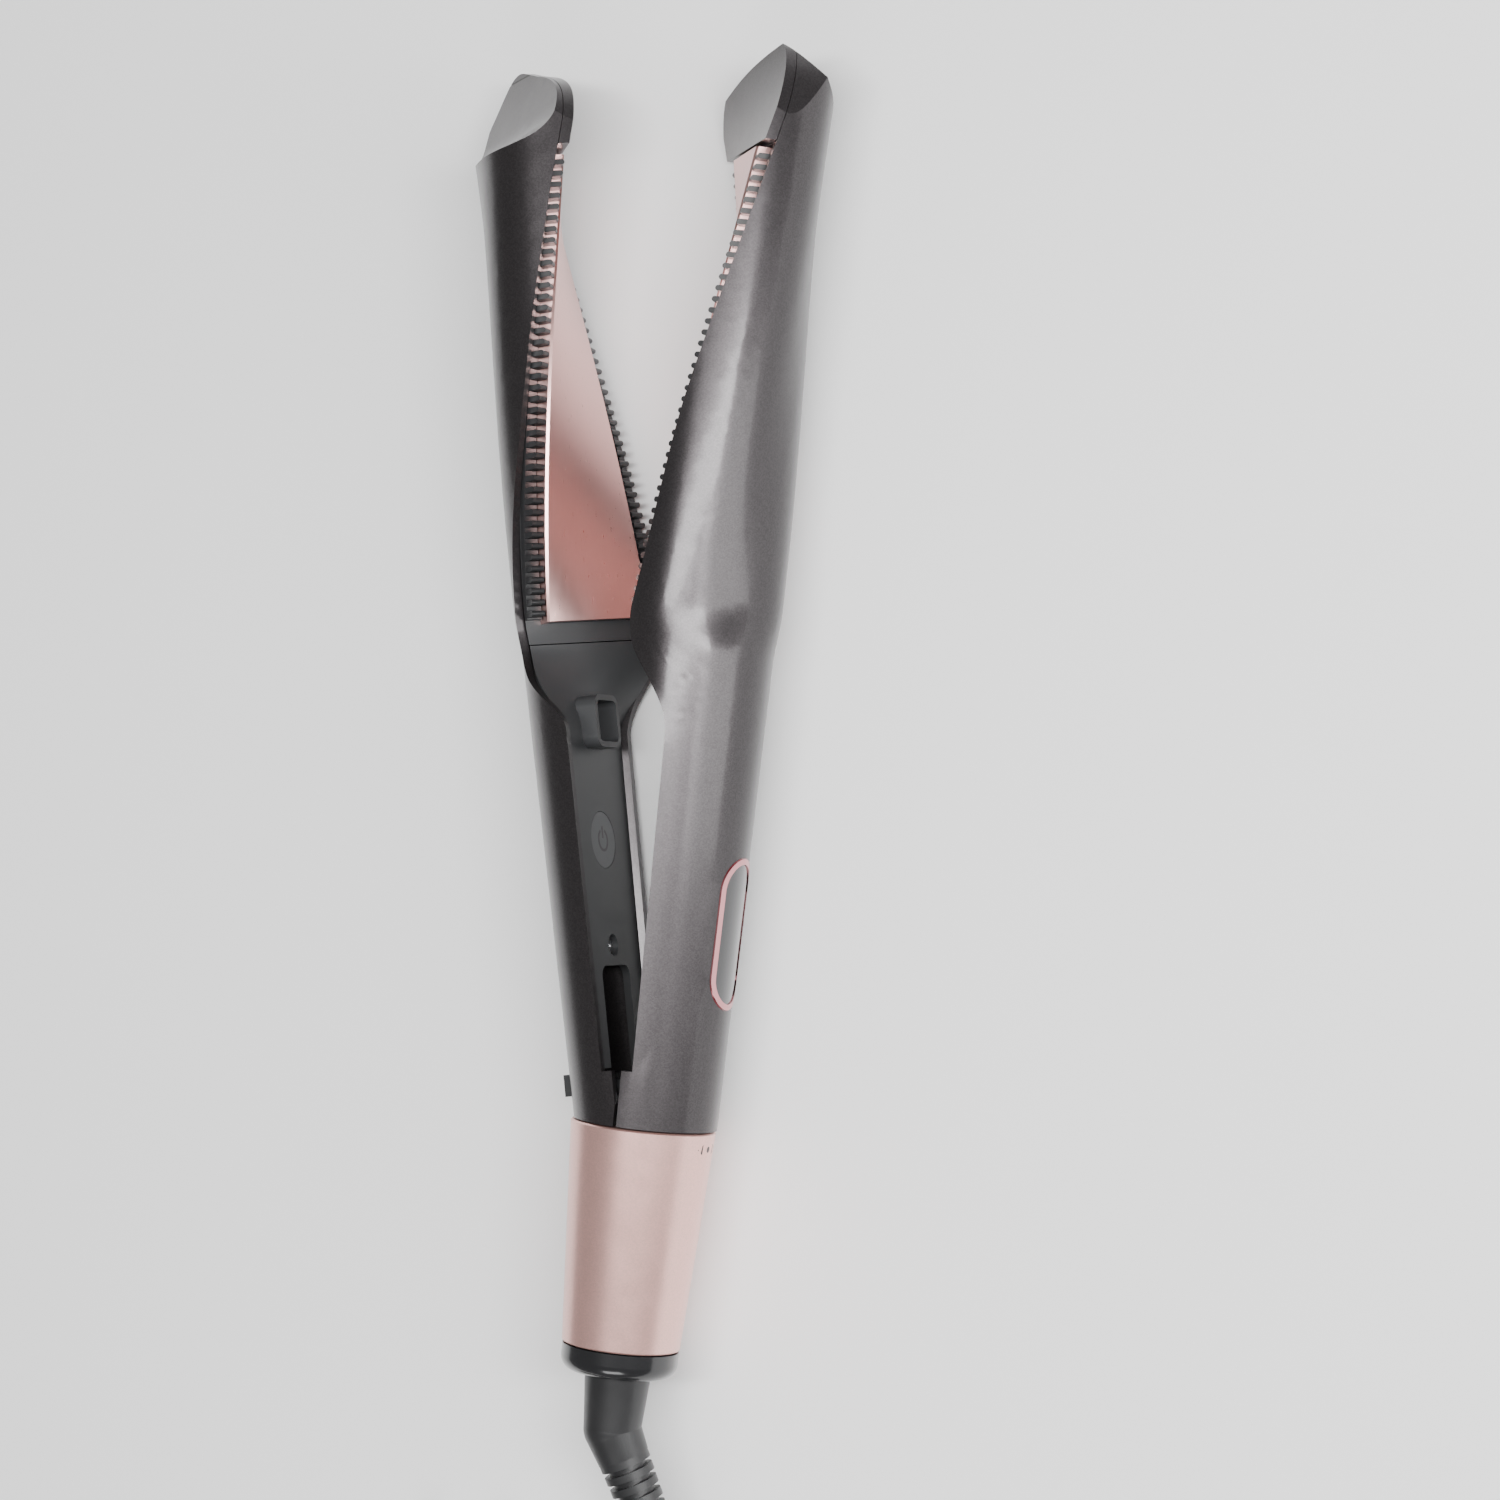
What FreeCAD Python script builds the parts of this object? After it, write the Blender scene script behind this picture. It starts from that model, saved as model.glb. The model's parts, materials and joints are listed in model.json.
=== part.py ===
"""Flat iron with twisted plates: two sprung arms, a turning tail dial and a swivel cord.

Units are millimetres. The iron lies on its side. +Y runs from the cord end to the tips, +Z is up and is the
direction of the hinge pin, and the display arm is on the +X side. A station s is a distance along Y from the
end cap's outer face. Arms are drawn closed about the long axis, then the rear arm is swung open to its rest.
"""
import FreeCAD, Part
import math
import os
from FreeCAD import Placement, Rotation, Vector

# ---- overall sizes ----
LENGTH = 300.0            # end cap face to the arm tips
GRIP_RADIUS_TAIL = 16.6   # closed handle, beside the dial
GRIP_RADIUS_NECK = 18.1   # closed handle, where the twist begins
BARREL_WIDTH_ROOT = 18.9  # closed barrel, half width at the plate's root
BARREL_WIDTH_TIP = 19.9   # closed barrel, half width at the tip
BARREL_DEPTH_ROOT = 17.4  # closed barrel, half depth at the plate's root
BARREL_DEPTH_TIP = 18.2   # closed barrel, half depth at the tip
BARREL_SQUARENESS = 2.35  # superellipse power of the barrel's section
WALL = 1.9                # wall of the outer shells
OPEN_ANGLE = 12.5         # degrees between the arms at rest

# ---- stations along the long axis ----
CAP_LENGTH = 6.0
DIAL_LENGTH = 49.8
DIAL_START = CAP_LENGTH + 0.3
DIAL_END = DIAL_START + DIAL_LENGTH
SHELL_START = DIAL_END + 0.4
HINGE_STATION = SHELL_START + 6.0
THROAT_END = HINGE_STATION + 6.5    # the shells' edges close up to each other below this
NECK_STATION = 150.0
GRIP_END = 142.0          # the plain tapered grip joins the twisted barrel here
TURN_START = 145.0
TURN_END = 166.0
COVER_START = THROAT_END + 0.6
COVER_END = 166.2
CARRIER_START = COVER_END + 0.3
PLATE_START = CARRIER_START + 4.5
TIP_LENGTH = 24.0         # solid tip beyond the carrier
CARRIER_END = LENGTH - TIP_LENGTH
PLATE_END = CARRIER_END - 0.4
CAVITY_END = CARRIER_END - 0.1
TIP_CAP_START = CARRIER_END + 0.4

# ---- twist of the parting plane, in degrees ----
TWIST_AT_ROOT = 45.0
TWIST_RATE = 0.75
TWIST_FROM = 170.0

# ---- heights from the parting plane ----
THROAT_LIP = 0.5          # shell edge beside the hinge
SHELL_LIP = 3.0           # shell edge elsewhere
LEAF_RISE = 2.8           # the edges draw back here and show the root of the combs
LEAF_START = 146.0
LEAF_FULL = 160.0
LEAF_FADE = 174.0
LEAF_END = 222.0
PLATE_TOP = 0.2
PLATE_SKIN = 1.8
PLATE_LEG = 1.2
COMB_TOP = 0.5
RAIL_TOP = 3.4
CARRIER_TOP = 4.9
CARRIER_THICKNESS = 2.0
COVER_TOP = 4.5
COVER_THICKNESS = 1.8
TIP_CAP_TOP = 0.35
FIT = 0.15                # gap between pieces of one arm
SEAM = 0.001              # tolerance where the grip and the barrel are joined

# ---- plates, combs and heaters ----
PLATE_HALF_WIDTH = 12.6
PLATE_CHAMFER = 0.5
RAIL_INNER = PLATE_HALF_WIDTH + 0.2
RAIL_OUTER = 16.4
TOOTH_INNER = RAIL_INNER + 0.3
TOOTH_OUTER = RAIL_OUTER - 0.1
TOOTH_THICKNESS = 1.25
TOOTH_PITCH = 2.5
COMB_START = PLATE_START + 2.0
COMB_END = PLATE_END - 1.6
HEATER_HALF_WIDTH = 8.0
HEATER_START = PLATE_START + 15.0
HEATER_END = PLATE_END - 15.6
HEATER_HEIGHT = 2.6
WINDOW_HALF_WIDTH = 9.0   # opening in the carrier behind the heater

# ---- tips ----
# Each outline is (u or depth, distance back from the tip).
TIP_ROUND_LENGTH = 22.0
TIP_OUTLINE = [(-20.6, 22.0), (-18.7, 16.0), (-15.9, 11.0), (-11.4, 7.3), (-6.0, 4.8), (0.0, 2.8), (5.0, 0.9),
               (9.0, 0.0), (12.8, 1.4), (15.6, 4.7), (17.7, 9.0), (19.2, 14.0), (20.6, 22.0)]
FACET_AZIMUTH = 70.0
FACET_PROFILE = [(22.5, 23.5), (19.6, 21.5), (17.0, 19.0), (13.3, 15.5), (8.9, 12.0), (5.0, 9.0), (1.2, 5.5),
                 (-2.3, 2.0), (-5.4, -1.5)]
SCOOP_AZIMUTH = 52.0
SCOOP_PROFILE = [(24.0, 23.4), (17.5, 22.4), (12.4, 20.2), (9.6, 17.4), (7.7, 14.0), (5.9, 10.0), (3.9, 5.0),
                 (2.2, -1.5)]

# ---- display ----
DISPLAY_STATION = 101.0
BEZEL_WIDTH = 15.0
BEZEL_LENGTH = 34.0
BEZEL_RIM = 1.35
BEZEL_PROUD = 0.35
BEZEL_DEPTH = 1.5
LENS_PROUD = 0.05

# ---- rear cover ----
BUTTON_STATION = 121.0
BUTTON_RADIUS = 6.4
BUTTON_TRAVEL = 0.6
BUTTON_FLANGE = 0.7
BOSS_STATION = 147.7
BOSS_SIZE = 12.0
BOSS_WALL = 1.3
BOSS_CORNER = 2.6
BOSS_TOP = 0.5
REAR_SCREW_STATION = 97.1
FRONT_SCREW_STATION = 131.0
SCREW_HOLE = 2.5
SCREW_SHANK = 1.3
WELL_HALF_WIDTH = 7.6
WELL_END = 92.5

# ---- hinge ----
PIN_RADIUS = 2.0
RUNNING_FIT = 0.06
LUG_INNER = 9.2
LUG_OUTER = 11.6
LUG_RADIUS = 4.4
BLOCK_HALF_HEIGHT = 5.6
BLOCK_REACH = 11.2
SPRING_WIRE = 0.45
SPRING_RADIUS = 3.2
SPRING_PITCH = 1.05

# ---- tail ----
CORE_RADIUS = 11.0
CORE_WALL = 2.5
CORE_BORE = CORE_RADIUS - CORE_WALL
DIAL_RADIUS_CORD = CORE_RADIUS + 2.35
DIAL_RADIUS_ARMS = GRIP_RADIUS_TAIL - 0.2
DIAL_WALL = 1.5
DIAL_RING = 4.0
DIAL_TURN = 9.0           # degrees each way
DIAL_FIT = 0.08
CAP_RADIUS = DIAL_RADIUS_CORD - 0.15
CAP_ROUND = 3.2
CAP_FLOOR = 3.0
SWITCH_HALF_WIDTH = 2.8
SWITCH_SHARE = 0.58       # height of the switch in the room under the dial's wall
CAM_SHARE = 0.81          # underside of the cam's bridge in the same room
CAM_GAP = 0.4             # from the cam to the dial's wall
CAM_ANGLE = 29.0
CAM_HALF_ANGLE = 4.0

# ---- lock slider ----
LOCK_START = HINGE_STATION + 1.6
LOCK_LENGTH = 4.9
LOCK_TRAVEL = 4.0
LOCK_HALF_WIDTH = 4.5
LOCK_PROUD = 1.5
LOCK_STEM_HALF_WIDTH = 2.0

# ---- cord neck and strain relief ----
NECK_RADIUS_CAP = CORE_BORE - 1.0
NECK_RADIUS_BEND = 6.5
NECK_LENGTH = 12.5
BEND_ANGLE = 27.0
BEND_AZIMUTH = 22.0
RELIEF_START = 7.0
RELIEF_LENGTH = 34.0
RELIEF_RADIUS_START = 5.8
RELIEF_RADIUS_END = 4.3
RELIEF_CORE_START = 4.4
RELIEF_CORE_END = 3.7
RIB_PITCH = 3.0
RIB_THICKNESS = 1.7

# ---- cord, coil and plug ----
CORD_RADIUS = 3.0
CORD_GAP = 0.9            # from the strain relief's end to the cord's solid
COIL_X = -4.0
COIL_Y = -154.0
COIL_COLUMNS = [40.6, 34.5, 28.4]
COIL_LAYERS = 3
COIL_PITCH = 6.1
TIE_THICKNESS = 1.0
TIE_WIDTH = 16.0
TIE_ANGLE = 100.0
COIL_LIFT = TIE_THICKNESS + 0.1
PLUG_THICKNESS = 13.7
PLUG_WIDTH = 35.0
PLUG_FACE_WIDTH = 27.0
PLUG_NECK_WIDTH = 11.0
PLUG_LENGTH = 33.0
PLUG_TAIL = 12.0
PLUG_X = -41.5
PLUG_Y = -111.0
PIN_SPACING = 18.6
PIN_LENGTH = 19.0
PLUG_PIN_RADIUS = 2.0


def ease(s, start, end):
    """0 before start, 1 after end and a smooth step between."""
    t = min(max((s - start) / (end - start), 0.0), 1.0)
    return t * t * (3.0 - 2.0 * t)


def mix(a, b, t):
    return a + (b - a) * t


def lip(s):
    """Height of a shell's edge above the parting plane."""
    return SHELL_LIP + LEAF_RISE * (ease(s, LEAF_START, LEAF_FULL) - ease(s, LEAF_FADE, LEAF_END))


def twist(s):
    """Turn of the parting plane about the long axis at a station, in degrees."""
    return -TWIST_AT_ROOT * ease(s, TURN_START, TURN_END) + TWIST_RATE * max(s - TWIST_FROM, 0.0)


def section(s):
    """Half width, half depth and superellipse power of the closed body at a station."""
    grip = mix(GRIP_RADIUS_TAIL, GRIP_RADIUS_NECK, (s - SHELL_START) / (NECK_STATION - SHELL_START))
    along = (s - PLATE_START) / (LENGTH - PLATE_START)
    width = mix(BARREL_WIDTH_ROOT, BARREL_WIDTH_TIP, along)
    depth = mix(BARREL_DEPTH_ROOT, BARREL_DEPTH_TIP, along)
    t = ease(s, NECK_STATION + 12.0, PLATE_START + 3.0)
    return mix(grip, width, t), mix(grip, depth, t), mix(2.0, BARREL_SQUARENESS, t)


def across(s, height, inset=0.0):
    """Half width of the body at a height from the parting plane."""
    width, depth, power = section(s)
    ratio = height / (depth - inset)
    return (width - inset) * (1.0 - ratio ** power) ** (1.0 / power)


def spot(s, u, v):
    """The point of the front arm at a station, u across the parting plane and v out from it."""
    turn = math.radians(twist(s))
    x = u * math.sin(turn) + v * math.cos(turn)
    z = u * math.cos(turn) - v * math.sin(turn)
    return Vector(x, s, z)


def curve(points):
    line = Part.BSplineCurve()
    line.interpolate(points)
    return line.toShape()


def stations(start, end):
    """Stations for a loft: far apart on the straight grip and close together where the section turns."""
    marks = [start]
    s = start
    while s < end - 1e-6:
        step = 2.5 if TURN_START - 3.0 <= s < PLATE_START + 6.0 else 7.0
        if s < TURN_START - 3.0:
            step = min(24.0, max(TURN_START - 3.0 - s, 2.5))
        s = s + step
        if s > end - 0.4 * step:
            s = end
        marks.append(s)
    return marks


def arc_points(s, floor, inset=0.0, count=13):
    """Points on the body's outline at a station, drawn in by inset, from one side of height floor to the other."""
    width, depth, power = section(s)
    width, depth = width - inset, depth - inset
    first = math.asin((floor / depth) ** (power / 2.0))
    points = []
    for i in range(count):
        angle = mix(first, math.pi - first, i / (count - 1.0))
        u = width * math.copysign(abs(math.cos(angle)) ** (2.0 / power), math.cos(angle))
        v = depth * math.sin(angle) ** (2.0 / power)
        points.append(spot(s, u, max(v, floor)))
    return points


def channel_loft(start, end, wall):
    """Open channel of the body's outline, or a solid up to the outline where wall is 0."""
    wires = []
    for s in stations(start, end):
        floor = lip(s)
        outer = arc_points(s, floor)
        if wall > 0:
            inner = arc_points(s, floor, wall)[::-1]
            edges = [curve(outer), Part.makeLine(outer[-1], inner[0]), curve(inner), Part.makeLine(inner[-1], outer[0])]
        else:
            edges = [curve(outer), Part.makeLine(outer[-1], outer[0])]
        wires.append(Part.Wire(edges))
    return Part.makeLoft(wires, True, False)


def grip_cone(start, end, inset=0.0):
    """The closed grip, a plain taper, drawn in by inset."""
    low, high = section(start)[0] - inset, section(end)[0] - inset
    return Part.makeCone(low, high, end - start, Vector(0, start, 0), Vector(0, 1, 0))


def strip_loft(start, end, outline):
    """Solid whose section is a polygon; outline gives its (u, v) corners at a station."""
    wires = []
    for s in stations(start, end):
        corners = [spot(s, u, v) for u, v in outline(s)]
        edges = [Part.makeLine(a, b) for a, b in zip(corners, corners[1:] + corners[:1])]
        wires.append(Part.Wire(edges))
    return Part.makeLoft(wires, True, False)


def bar(low_u, high_u, low_v, high_v):
    """Outline of a plain rectangular strip."""
    return lambda s: [(low_u, low_v), (high_u, low_v), (high_u, high_v), (low_u, high_v)]


def box(x, y, z):
    """Box from three (low, high) pairs."""
    return Part.makeBox(x[1] - x[0], y[1] - y[0], z[1] - z[0], Vector(x[0], y[0], z[0]))


def rod(radius, start, end):
    """Cylinder between two points."""
    line = end - start
    return Part.makeCylinder(radius, line.Length, start, line)


def rotated_ring(profile):
    """Solid turned about the long axis from (radius, station) corners."""
    corners = [Vector(r, s, 0) for r, s in profile]
    face = Part.Face(Part.makePolygon(corners + corners[:1]))
    return face.revolve(Vector(0, 0, 0), Vector(0, 1, 0), 360)


def half_turn(shape):
    """The same piece on the other arm: half a turn about the long axis."""
    copy = shape.copy()
    copy.rotate(Vector(0, 0, 0), Vector(0, 1, 0), 180)
    return copy


def swing_open(shape):
    """Swing a closed rear-arm piece to the open rest."""
    copy = shape.copy()
    copy.rotate(Vector(0, HINGE_STATION, 0), Vector(0, 0, 1), OPEN_ANGLE)
    return copy


def in_frame(shape, s, azimuth):
    """Place a piece drawn with X outward, Y along and Z across at a station and an azimuth about the axis."""
    copy = shape.copy()
    copy.rotate(Vector(0, 0, 0), Vector(0, 1, 0), azimuth)
    copy.translate(Vector(0, s, 0))
    return copy


# ---- outer shells and tips ----

def tip_outline():
    """Prism that rounds a tip, seen along the arm's depth."""
    reach, low, wide = 30.0, THROAT_END, 40.0
    points = [Vector(0, LENGTH - back, u) for u, back in TIP_OUTLINE]
    round_start = LENGTH - TIP_ROUND_LENGTH
    corners = [points[-1], Vector(0, round_start, wide), Vector(0, low, wide),
               Vector(0, low, -wide), Vector(0, round_start, -wide), points[0]]
    edges = [curve(points)] + [Part.makeLine(a, b) for a, b in zip(corners, corners[1:])]
    prism = Part.Face(Part.Wire(edges)).extrude(Vector(2 * reach, 0, 0))
    prism.translate(Vector(-reach, 0, 0))
    return in_frame(prism, 0.0, twist(LENGTH - 8.0))


def tip_cutter(azimuth, profile):
    """Cutter of a tip's slanted face: a profile of depths, drawn out across the arm."""
    points = [Vector(depth, LENGTH - back, 0) for depth, back in profile]
    corner = Vector(points[0].x, points[-1].y, 0)
    edges = [curve(points), Part.makeLine(points[-1], corner), Part.makeLine(corner, points[0])]
    tool = Part.Face(Part.Wire(edges)).extrude(Vector(0, 0, 80))
    tool.translate(Vector(0, 0, -40))
    return in_frame(tool, 0.0, azimuth)


def tip_block():
    """Solid end of a shell, before its slanted face is cut."""
    return channel_loft(CAVITY_END, LENGTH, 0.0).common(tip_outline())


def grip_shell():
    """Half of the grip's tube, with a closer lip beside the hinge; its cord end is cut later."""
    start = SHELL_START - 3.0
    tube = grip_cone(start, GRIP_END).cut(grip_cone(start - 3.0, GRIP_END + 3.0, WALL))
    throat = box((-40, THROAT_LIP), (start - 1, GRIP_END + 1), (-40, 40))
    mouth = box((-40, SHELL_LIP), (THROAT_END, GRIP_END + 1), (-40, 40))
    return tube.cut(throat).cut(mouth)


def arm_shell(cutter):
    """Outer shell of one arm: grip, twisted barrel and solid tip."""
    barrel = channel_loft(GRIP_END, CAVITY_END, WALL)
    return barrel.fuse([tip_block().cut(cutter)], SEAM).fuse([grip_shell()], SEAM)


def tail_end():
    """Everything on the cord side of the shells' ends."""
    return box((-40, 40), (SHELL_START - 30.0, SHELL_START), (-40, 40))


def screw_post(station):
    """Post inside a shell that a cover's screw bites into."""
    start = COVER_TOP + COVER_THICKNESS + 2.5
    wall = section(station)[1] - 0.5 * WALL
    post = rod(3.0, Vector(start, station, 0), Vector(wall, station, 0))
    return post.cut(rod(SCREW_SHANK + 0.05, Vector(start - 1, station, 0), Vector(wall - 1.2, station, 0)))


def stadium(width, length, station):
    """Round-ended prism standing on the front arm along +X."""
    half, radius = 0.5 * (length - width), 0.5 * width
    middle = box((0, 40), (station - half, station + half), (-radius, radius))
    ends = [Part.makeCylinder(radius, 40, Vector(0, station + k * half, 0), Vector(1, 0, 0)) for k in (-1, 1)]
    return middle.fuse(ends).removeSplitter()


def grip_tube(outer, inner, start, end):
    """Tube that follows the grip's taper, with its faces outer and inner away from the grip's surface."""
    return grip_cone(start, end, -outer).cut(grip_cone(start, end, -inner))


def tip_cap(cutter):
    """Inner half of a tip, under the shell's solid end."""
    wires = []
    top, bottom = TIP_CAP_TOP, SHELL_LIP - FIT
    heights = [top, 0.5 * (top + bottom), bottom]
    for s in stations(TIP_CAP_START, LENGTH):
        right = [spot(s, across(s, v), v) for v in heights]
        left = [spot(s, -across(s, v), v) for v in reversed(heights)]
        wires.append(Part.Wire([curve(right), Part.makeLine(right[-1], left[0]),
                                curve(left), Part.makeLine(left[-1], right[0])]))
    return Part.makeLoft(wires, True, False).common(tip_outline()).cut(cutter)


# ---- what fills the plate zone ----

def plate():
    half, top, leg = PLATE_HALF_WIDTH, PLATE_TOP, CARRIER_TOP - 0.1
    edge = PLATE_CHAMFER
    inner = half - PLATE_LEG
    under = top + PLATE_SKIN

    def outline(s):
        side = [(half - edge, top), (half, top + edge), (half, leg), (inner, leg), (inner, under)]
        return side + [(-u, v) for u, v in reversed(side)]

    return strip_loft(PLATE_START, PLATE_END, outline)


def carrier():
    top, bottom = CARRIER_TOP, CARRIER_TOP + CARRIER_THICKNESS

    def outline(s):
        half_top = across(s, top, WALL) - FIT
        half_bottom = across(s, bottom, WALL) - FIT
        return [(-half_top, top), (half_top, top), (half_bottom, bottom), (-half_bottom, bottom)]

    slab = strip_loft(CARRIER_START, CARRIER_END - 0.3, outline)
    window = strip_loft(HEATER_START - 2.0, HEATER_END + 2.0,
                        bar(-WINDOW_HALF_WIDTH, WINDOW_HALF_WIDTH, top - 2.0, bottom + 2.0))
    return slab.cut(window)


def tooth():
    """One comb tooth with a round top, standing in the u-v plane."""
    half = 0.5 * TOOTH_THICKNESS
    root, top = RAIL_TOP + 0.2, COMB_TOP
    edges = [
        Part.makeLine(Vector(root, -half, 0), Vector(top + half, -half, 0)),
        Part.Arc(Vector(top + half, -half, 0), Vector(top, 0, 0), Vector(top + half, half, 0)).toShape(),
        Part.makeLine(Vector(top + half, half, 0), Vector(root, half, 0)),
        Part.makeLine(Vector(root, half, 0), Vector(root, -half, 0)),
    ]
    return Part.Face(Part.Wire(edges)).extrude(Vector(0, 0, TOOTH_OUTER - TOOTH_INNER))


def comb(side):
    """Comb strip along one edge of a plate; side is +1 or -1."""
    inner, outer = sorted((side * RAIL_INNER, side * RAIL_OUTER))
    rail = strip_loft(COMB_START - 1.0, COMB_END + 1.0, bar(inner, outer, RAIL_TOP, CARRIER_TOP - 0.05))
    pattern = tooth()
    low = TOOTH_INNER if side > 0 else -TOOTH_OUTER
    teeth = []
    count = int((COMB_END - COMB_START) / TOOTH_PITCH)
    for i in range(count + 1):
        s = COMB_START + TOOTH_PITCH * i
        piece = pattern.copy()
        piece.translate(Vector(0, 0, low))
        teeth.append(in_frame(piece, s, twist(s)))
    return rail.fuse(teeth)


def heater():
    top = PLATE_TOP + PLATE_SKIN + 0.05
    return strip_loft(HEATER_START, HEATER_END,
                      bar(-HEATER_HALF_WIDTH, HEATER_HALF_WIDTH, top, top + HEATER_HEIGHT))


def thermal_fuse():
    top = PLATE_TOP + PLATE_SKIN + 0.05 + HEATER_HEIGHT
    s = 0.5 * (HEATER_START + HEATER_END)
    return rod(1.9, spot(s - 6, 0, top + 2.1), spot(s + 6, 0, top + 2.1))


def heater_leads():
    start, end = CARRIER_START + 1.0, HEATER_START + 2.0
    depth = CARRIER_TOP + CARRIER_THICKNESS + 1.05
    return Part.makeCompound([rod(0.9, spot(start, u, depth), spot(end, u, depth)) for u in (-3.0, 3.0)])


# ---- inner covers of the handle ----

def cover_blank(screw_station):
    """Inner cover with its screw cup and the well beside the hinge."""
    top, bottom = COVER_TOP, COVER_TOP + COVER_THICKNESS

    cover = box((top, bottom), (COVER_START, GRIP_END), (-40, 40))
    cover = cover.common(grip_cone(COVER_START - 1, GRIP_END + 1, WALL + FIT))
    cup = rod(SCREW_HOLE + 1.2, Vector(bottom - 0.4, screw_station, 0), Vector(bottom + 2.3, screw_station, 0))
    cover = cover.fuse(cup)
    well = box((0, 12), (COVER_START - 5.0, WELL_END), (-WELL_HALF_WIDTH, WELL_HALF_WIDTH))
    rounded = well.makeFillet(2.5, [e for e in well.Edges if is_along_x(e) and e.CenterOfMass.y > WELL_END - 1])
    hole = rod(SCREW_HOLE, Vector(0, screw_station, 0), Vector(bottom + 0.9, screw_station, 0))
    pilot = rod(SCREW_SHANK + 0.1, Vector(0, screw_station, 0), Vector(bottom + 5, screw_station, 0))
    cover = cover.cut(rounded).cut(hole).cut(pilot)

    wires = []
    for s in stations(GRIP_END, COVER_END):
        right = [spot(s, across(s, v, WALL + FIT), v) for v in (top, 0.5 * (top + bottom), bottom)]
        left = [spot(s, -across(s, v, WALL + FIT), v) for v in (bottom, 0.5 * (top + bottom), top)]
        wires.append(Part.Wire([curve(right), Part.makeLine(right[-1], left[0]),
                                curve(left), Part.makeLine(left[-1], right[0])]))
    return cover.fuse([Part.makeLoft(wires, True, False)], SEAM)


def is_along_x(edge):
    a, b = edge.Vertexes[0].Point, edge.Vertexes[-1].Point
    return abs(a.y - b.y) < 1e-6 and abs(a.z - b.z) < 1e-6


def screw(station):
    seat = COVER_TOP + COVER_THICKNESS + 0.9
    head = rod(SCREW_HOLE - 0.25, Vector(seat - 1.3, station, 0), Vector(seat, station, 0))
    shank = rod(SCREW_SHANK, Vector(seat - 0.1, station, 0), Vector(seat + 5.5, station, 0))
    slot = box((seat - 1.4, seat - 0.8), (station - 1.4, station + 1.4), (-0.3, 0.3))
    cross = box((seat - 1.4, seat - 0.8), (station - 0.3, station + 0.3), (-1.4, 1.4))
    return head.fuse(shank).cut(slot).cut(cross)


def rear_cover():
    cover = cover_blank(REAR_SCREW_STATION)
    opening = rod(BUTTON_RADIUS + FIT, Vector(0, BUTTON_STATION, 0), Vector(20, BUTTON_STATION, 0))
    cover = cover.cut(opening)
    half = 0.5 * BOSS_SIZE
    root = COVER_TOP + 1.0
    outer = box((BOSS_TOP, root), (-half, half), (-half, half))
    outer = outer.makeFillet(BOSS_CORNER, [e for e in outer.Edges if is_along_x(e)])
    bore = half - BOSS_WALL
    inner = box((BOSS_TOP - 1.0, root - 0.6), (-bore, bore), (-bore, bore))
    inner = inner.makeFillet(BOSS_CORNER - BOSS_WALL, [e for e in inner.Edges if is_along_x(e)])
    turn = twist(BOSS_STATION)
    return cover.fuse(in_frame(outer, BOSS_STATION, turn)).cut(in_frame(inner, BOSS_STATION, turn))


def power_button():
    top, skirt = COVER_TOP + 0.05, COVER_TOP + COVER_THICKNESS + 0.1
    disc = rod(BUTTON_RADIUS, Vector(top, BUTTON_STATION, 0), Vector(skirt + BUTTON_FLANGE, BUTTON_STATION, 0))
    flange = rod(BUTTON_RADIUS + 0.9, Vector(skirt, BUTTON_STATION, 0),
                 Vector(skirt + BUTTON_FLANGE, BUTTON_STATION, 0))
    return disc.fuse(flange).removeSplitter()


def power_switch():
    top = COVER_TOP + COVER_THICKNESS + 0.1 + BUTTON_FLANGE + BUTTON_TRAVEL + 0.1
    plunger = rod(1.6, Vector(top, BUTTON_STATION, 0), Vector(top + 1.0, BUTTON_STATION, 0))
    case = box((top + 0.8, top + 3.0), (BUTTON_STATION - 3, BUTTON_STATION + 3), (-3, 3))
    return case.fuse(plunger), top + 3.05


# ---- hinge ----

def hinge_block():
    """Lug of the rear arm round the pin, drawn at the open rest."""
    y = HINGE_STATION
    base = SHELL_START + 2.1
    eye = Part.makeCylinder(LUG_RADIUS - 0.6, 2 * BLOCK_HALF_HEIGHT, Vector(0, y, -BLOCK_HALF_HEIGHT))
    body = box((-BLOCK_REACH, 0), (base + 0.2, y + 3.8), (-BLOCK_HALF_HEIGHT, BLOCK_HALF_HEIGHT))
    bore = Part.makeCylinder(PIN_RADIUS + RUNNING_FIT, 40, Vector(0, y, -20))
    return body.fuse(eye).cut(bore)


def hinge_pin():
    half = LUG_OUTER + 0.3
    pin = Part.makeCylinder(PIN_RADIUS, 2 * half, Vector(0, HINGE_STATION, -half))
    return pin.makeChamfer(0.4, [e for e in pin.Edges if e.Curve.TypeId == "Part::GeomCircle"])


def hinge_spring():
    turns_height = LUG_INNER - BLOCK_HALF_HEIGHT - 2 * SPRING_WIRE - 0.3
    low = BLOCK_HALF_HEIGHT + SPRING_WIRE + 0.15
    helix = Part.makeLongHelix(SPRING_PITCH, turns_height, SPRING_RADIUS)
    start = Vector(SPRING_RADIUS, 0, 0)
    profile = Part.Wire(Part.makeCircle(SPRING_WIRE, start, Vector(0, 1, 0)))
    coil = Part.Wire(helix.Edges).makePipeShell([profile], True, True)
    coil.translate(Vector(0, HINGE_STATION, low))
    return coil


# ---- tail ----

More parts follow.
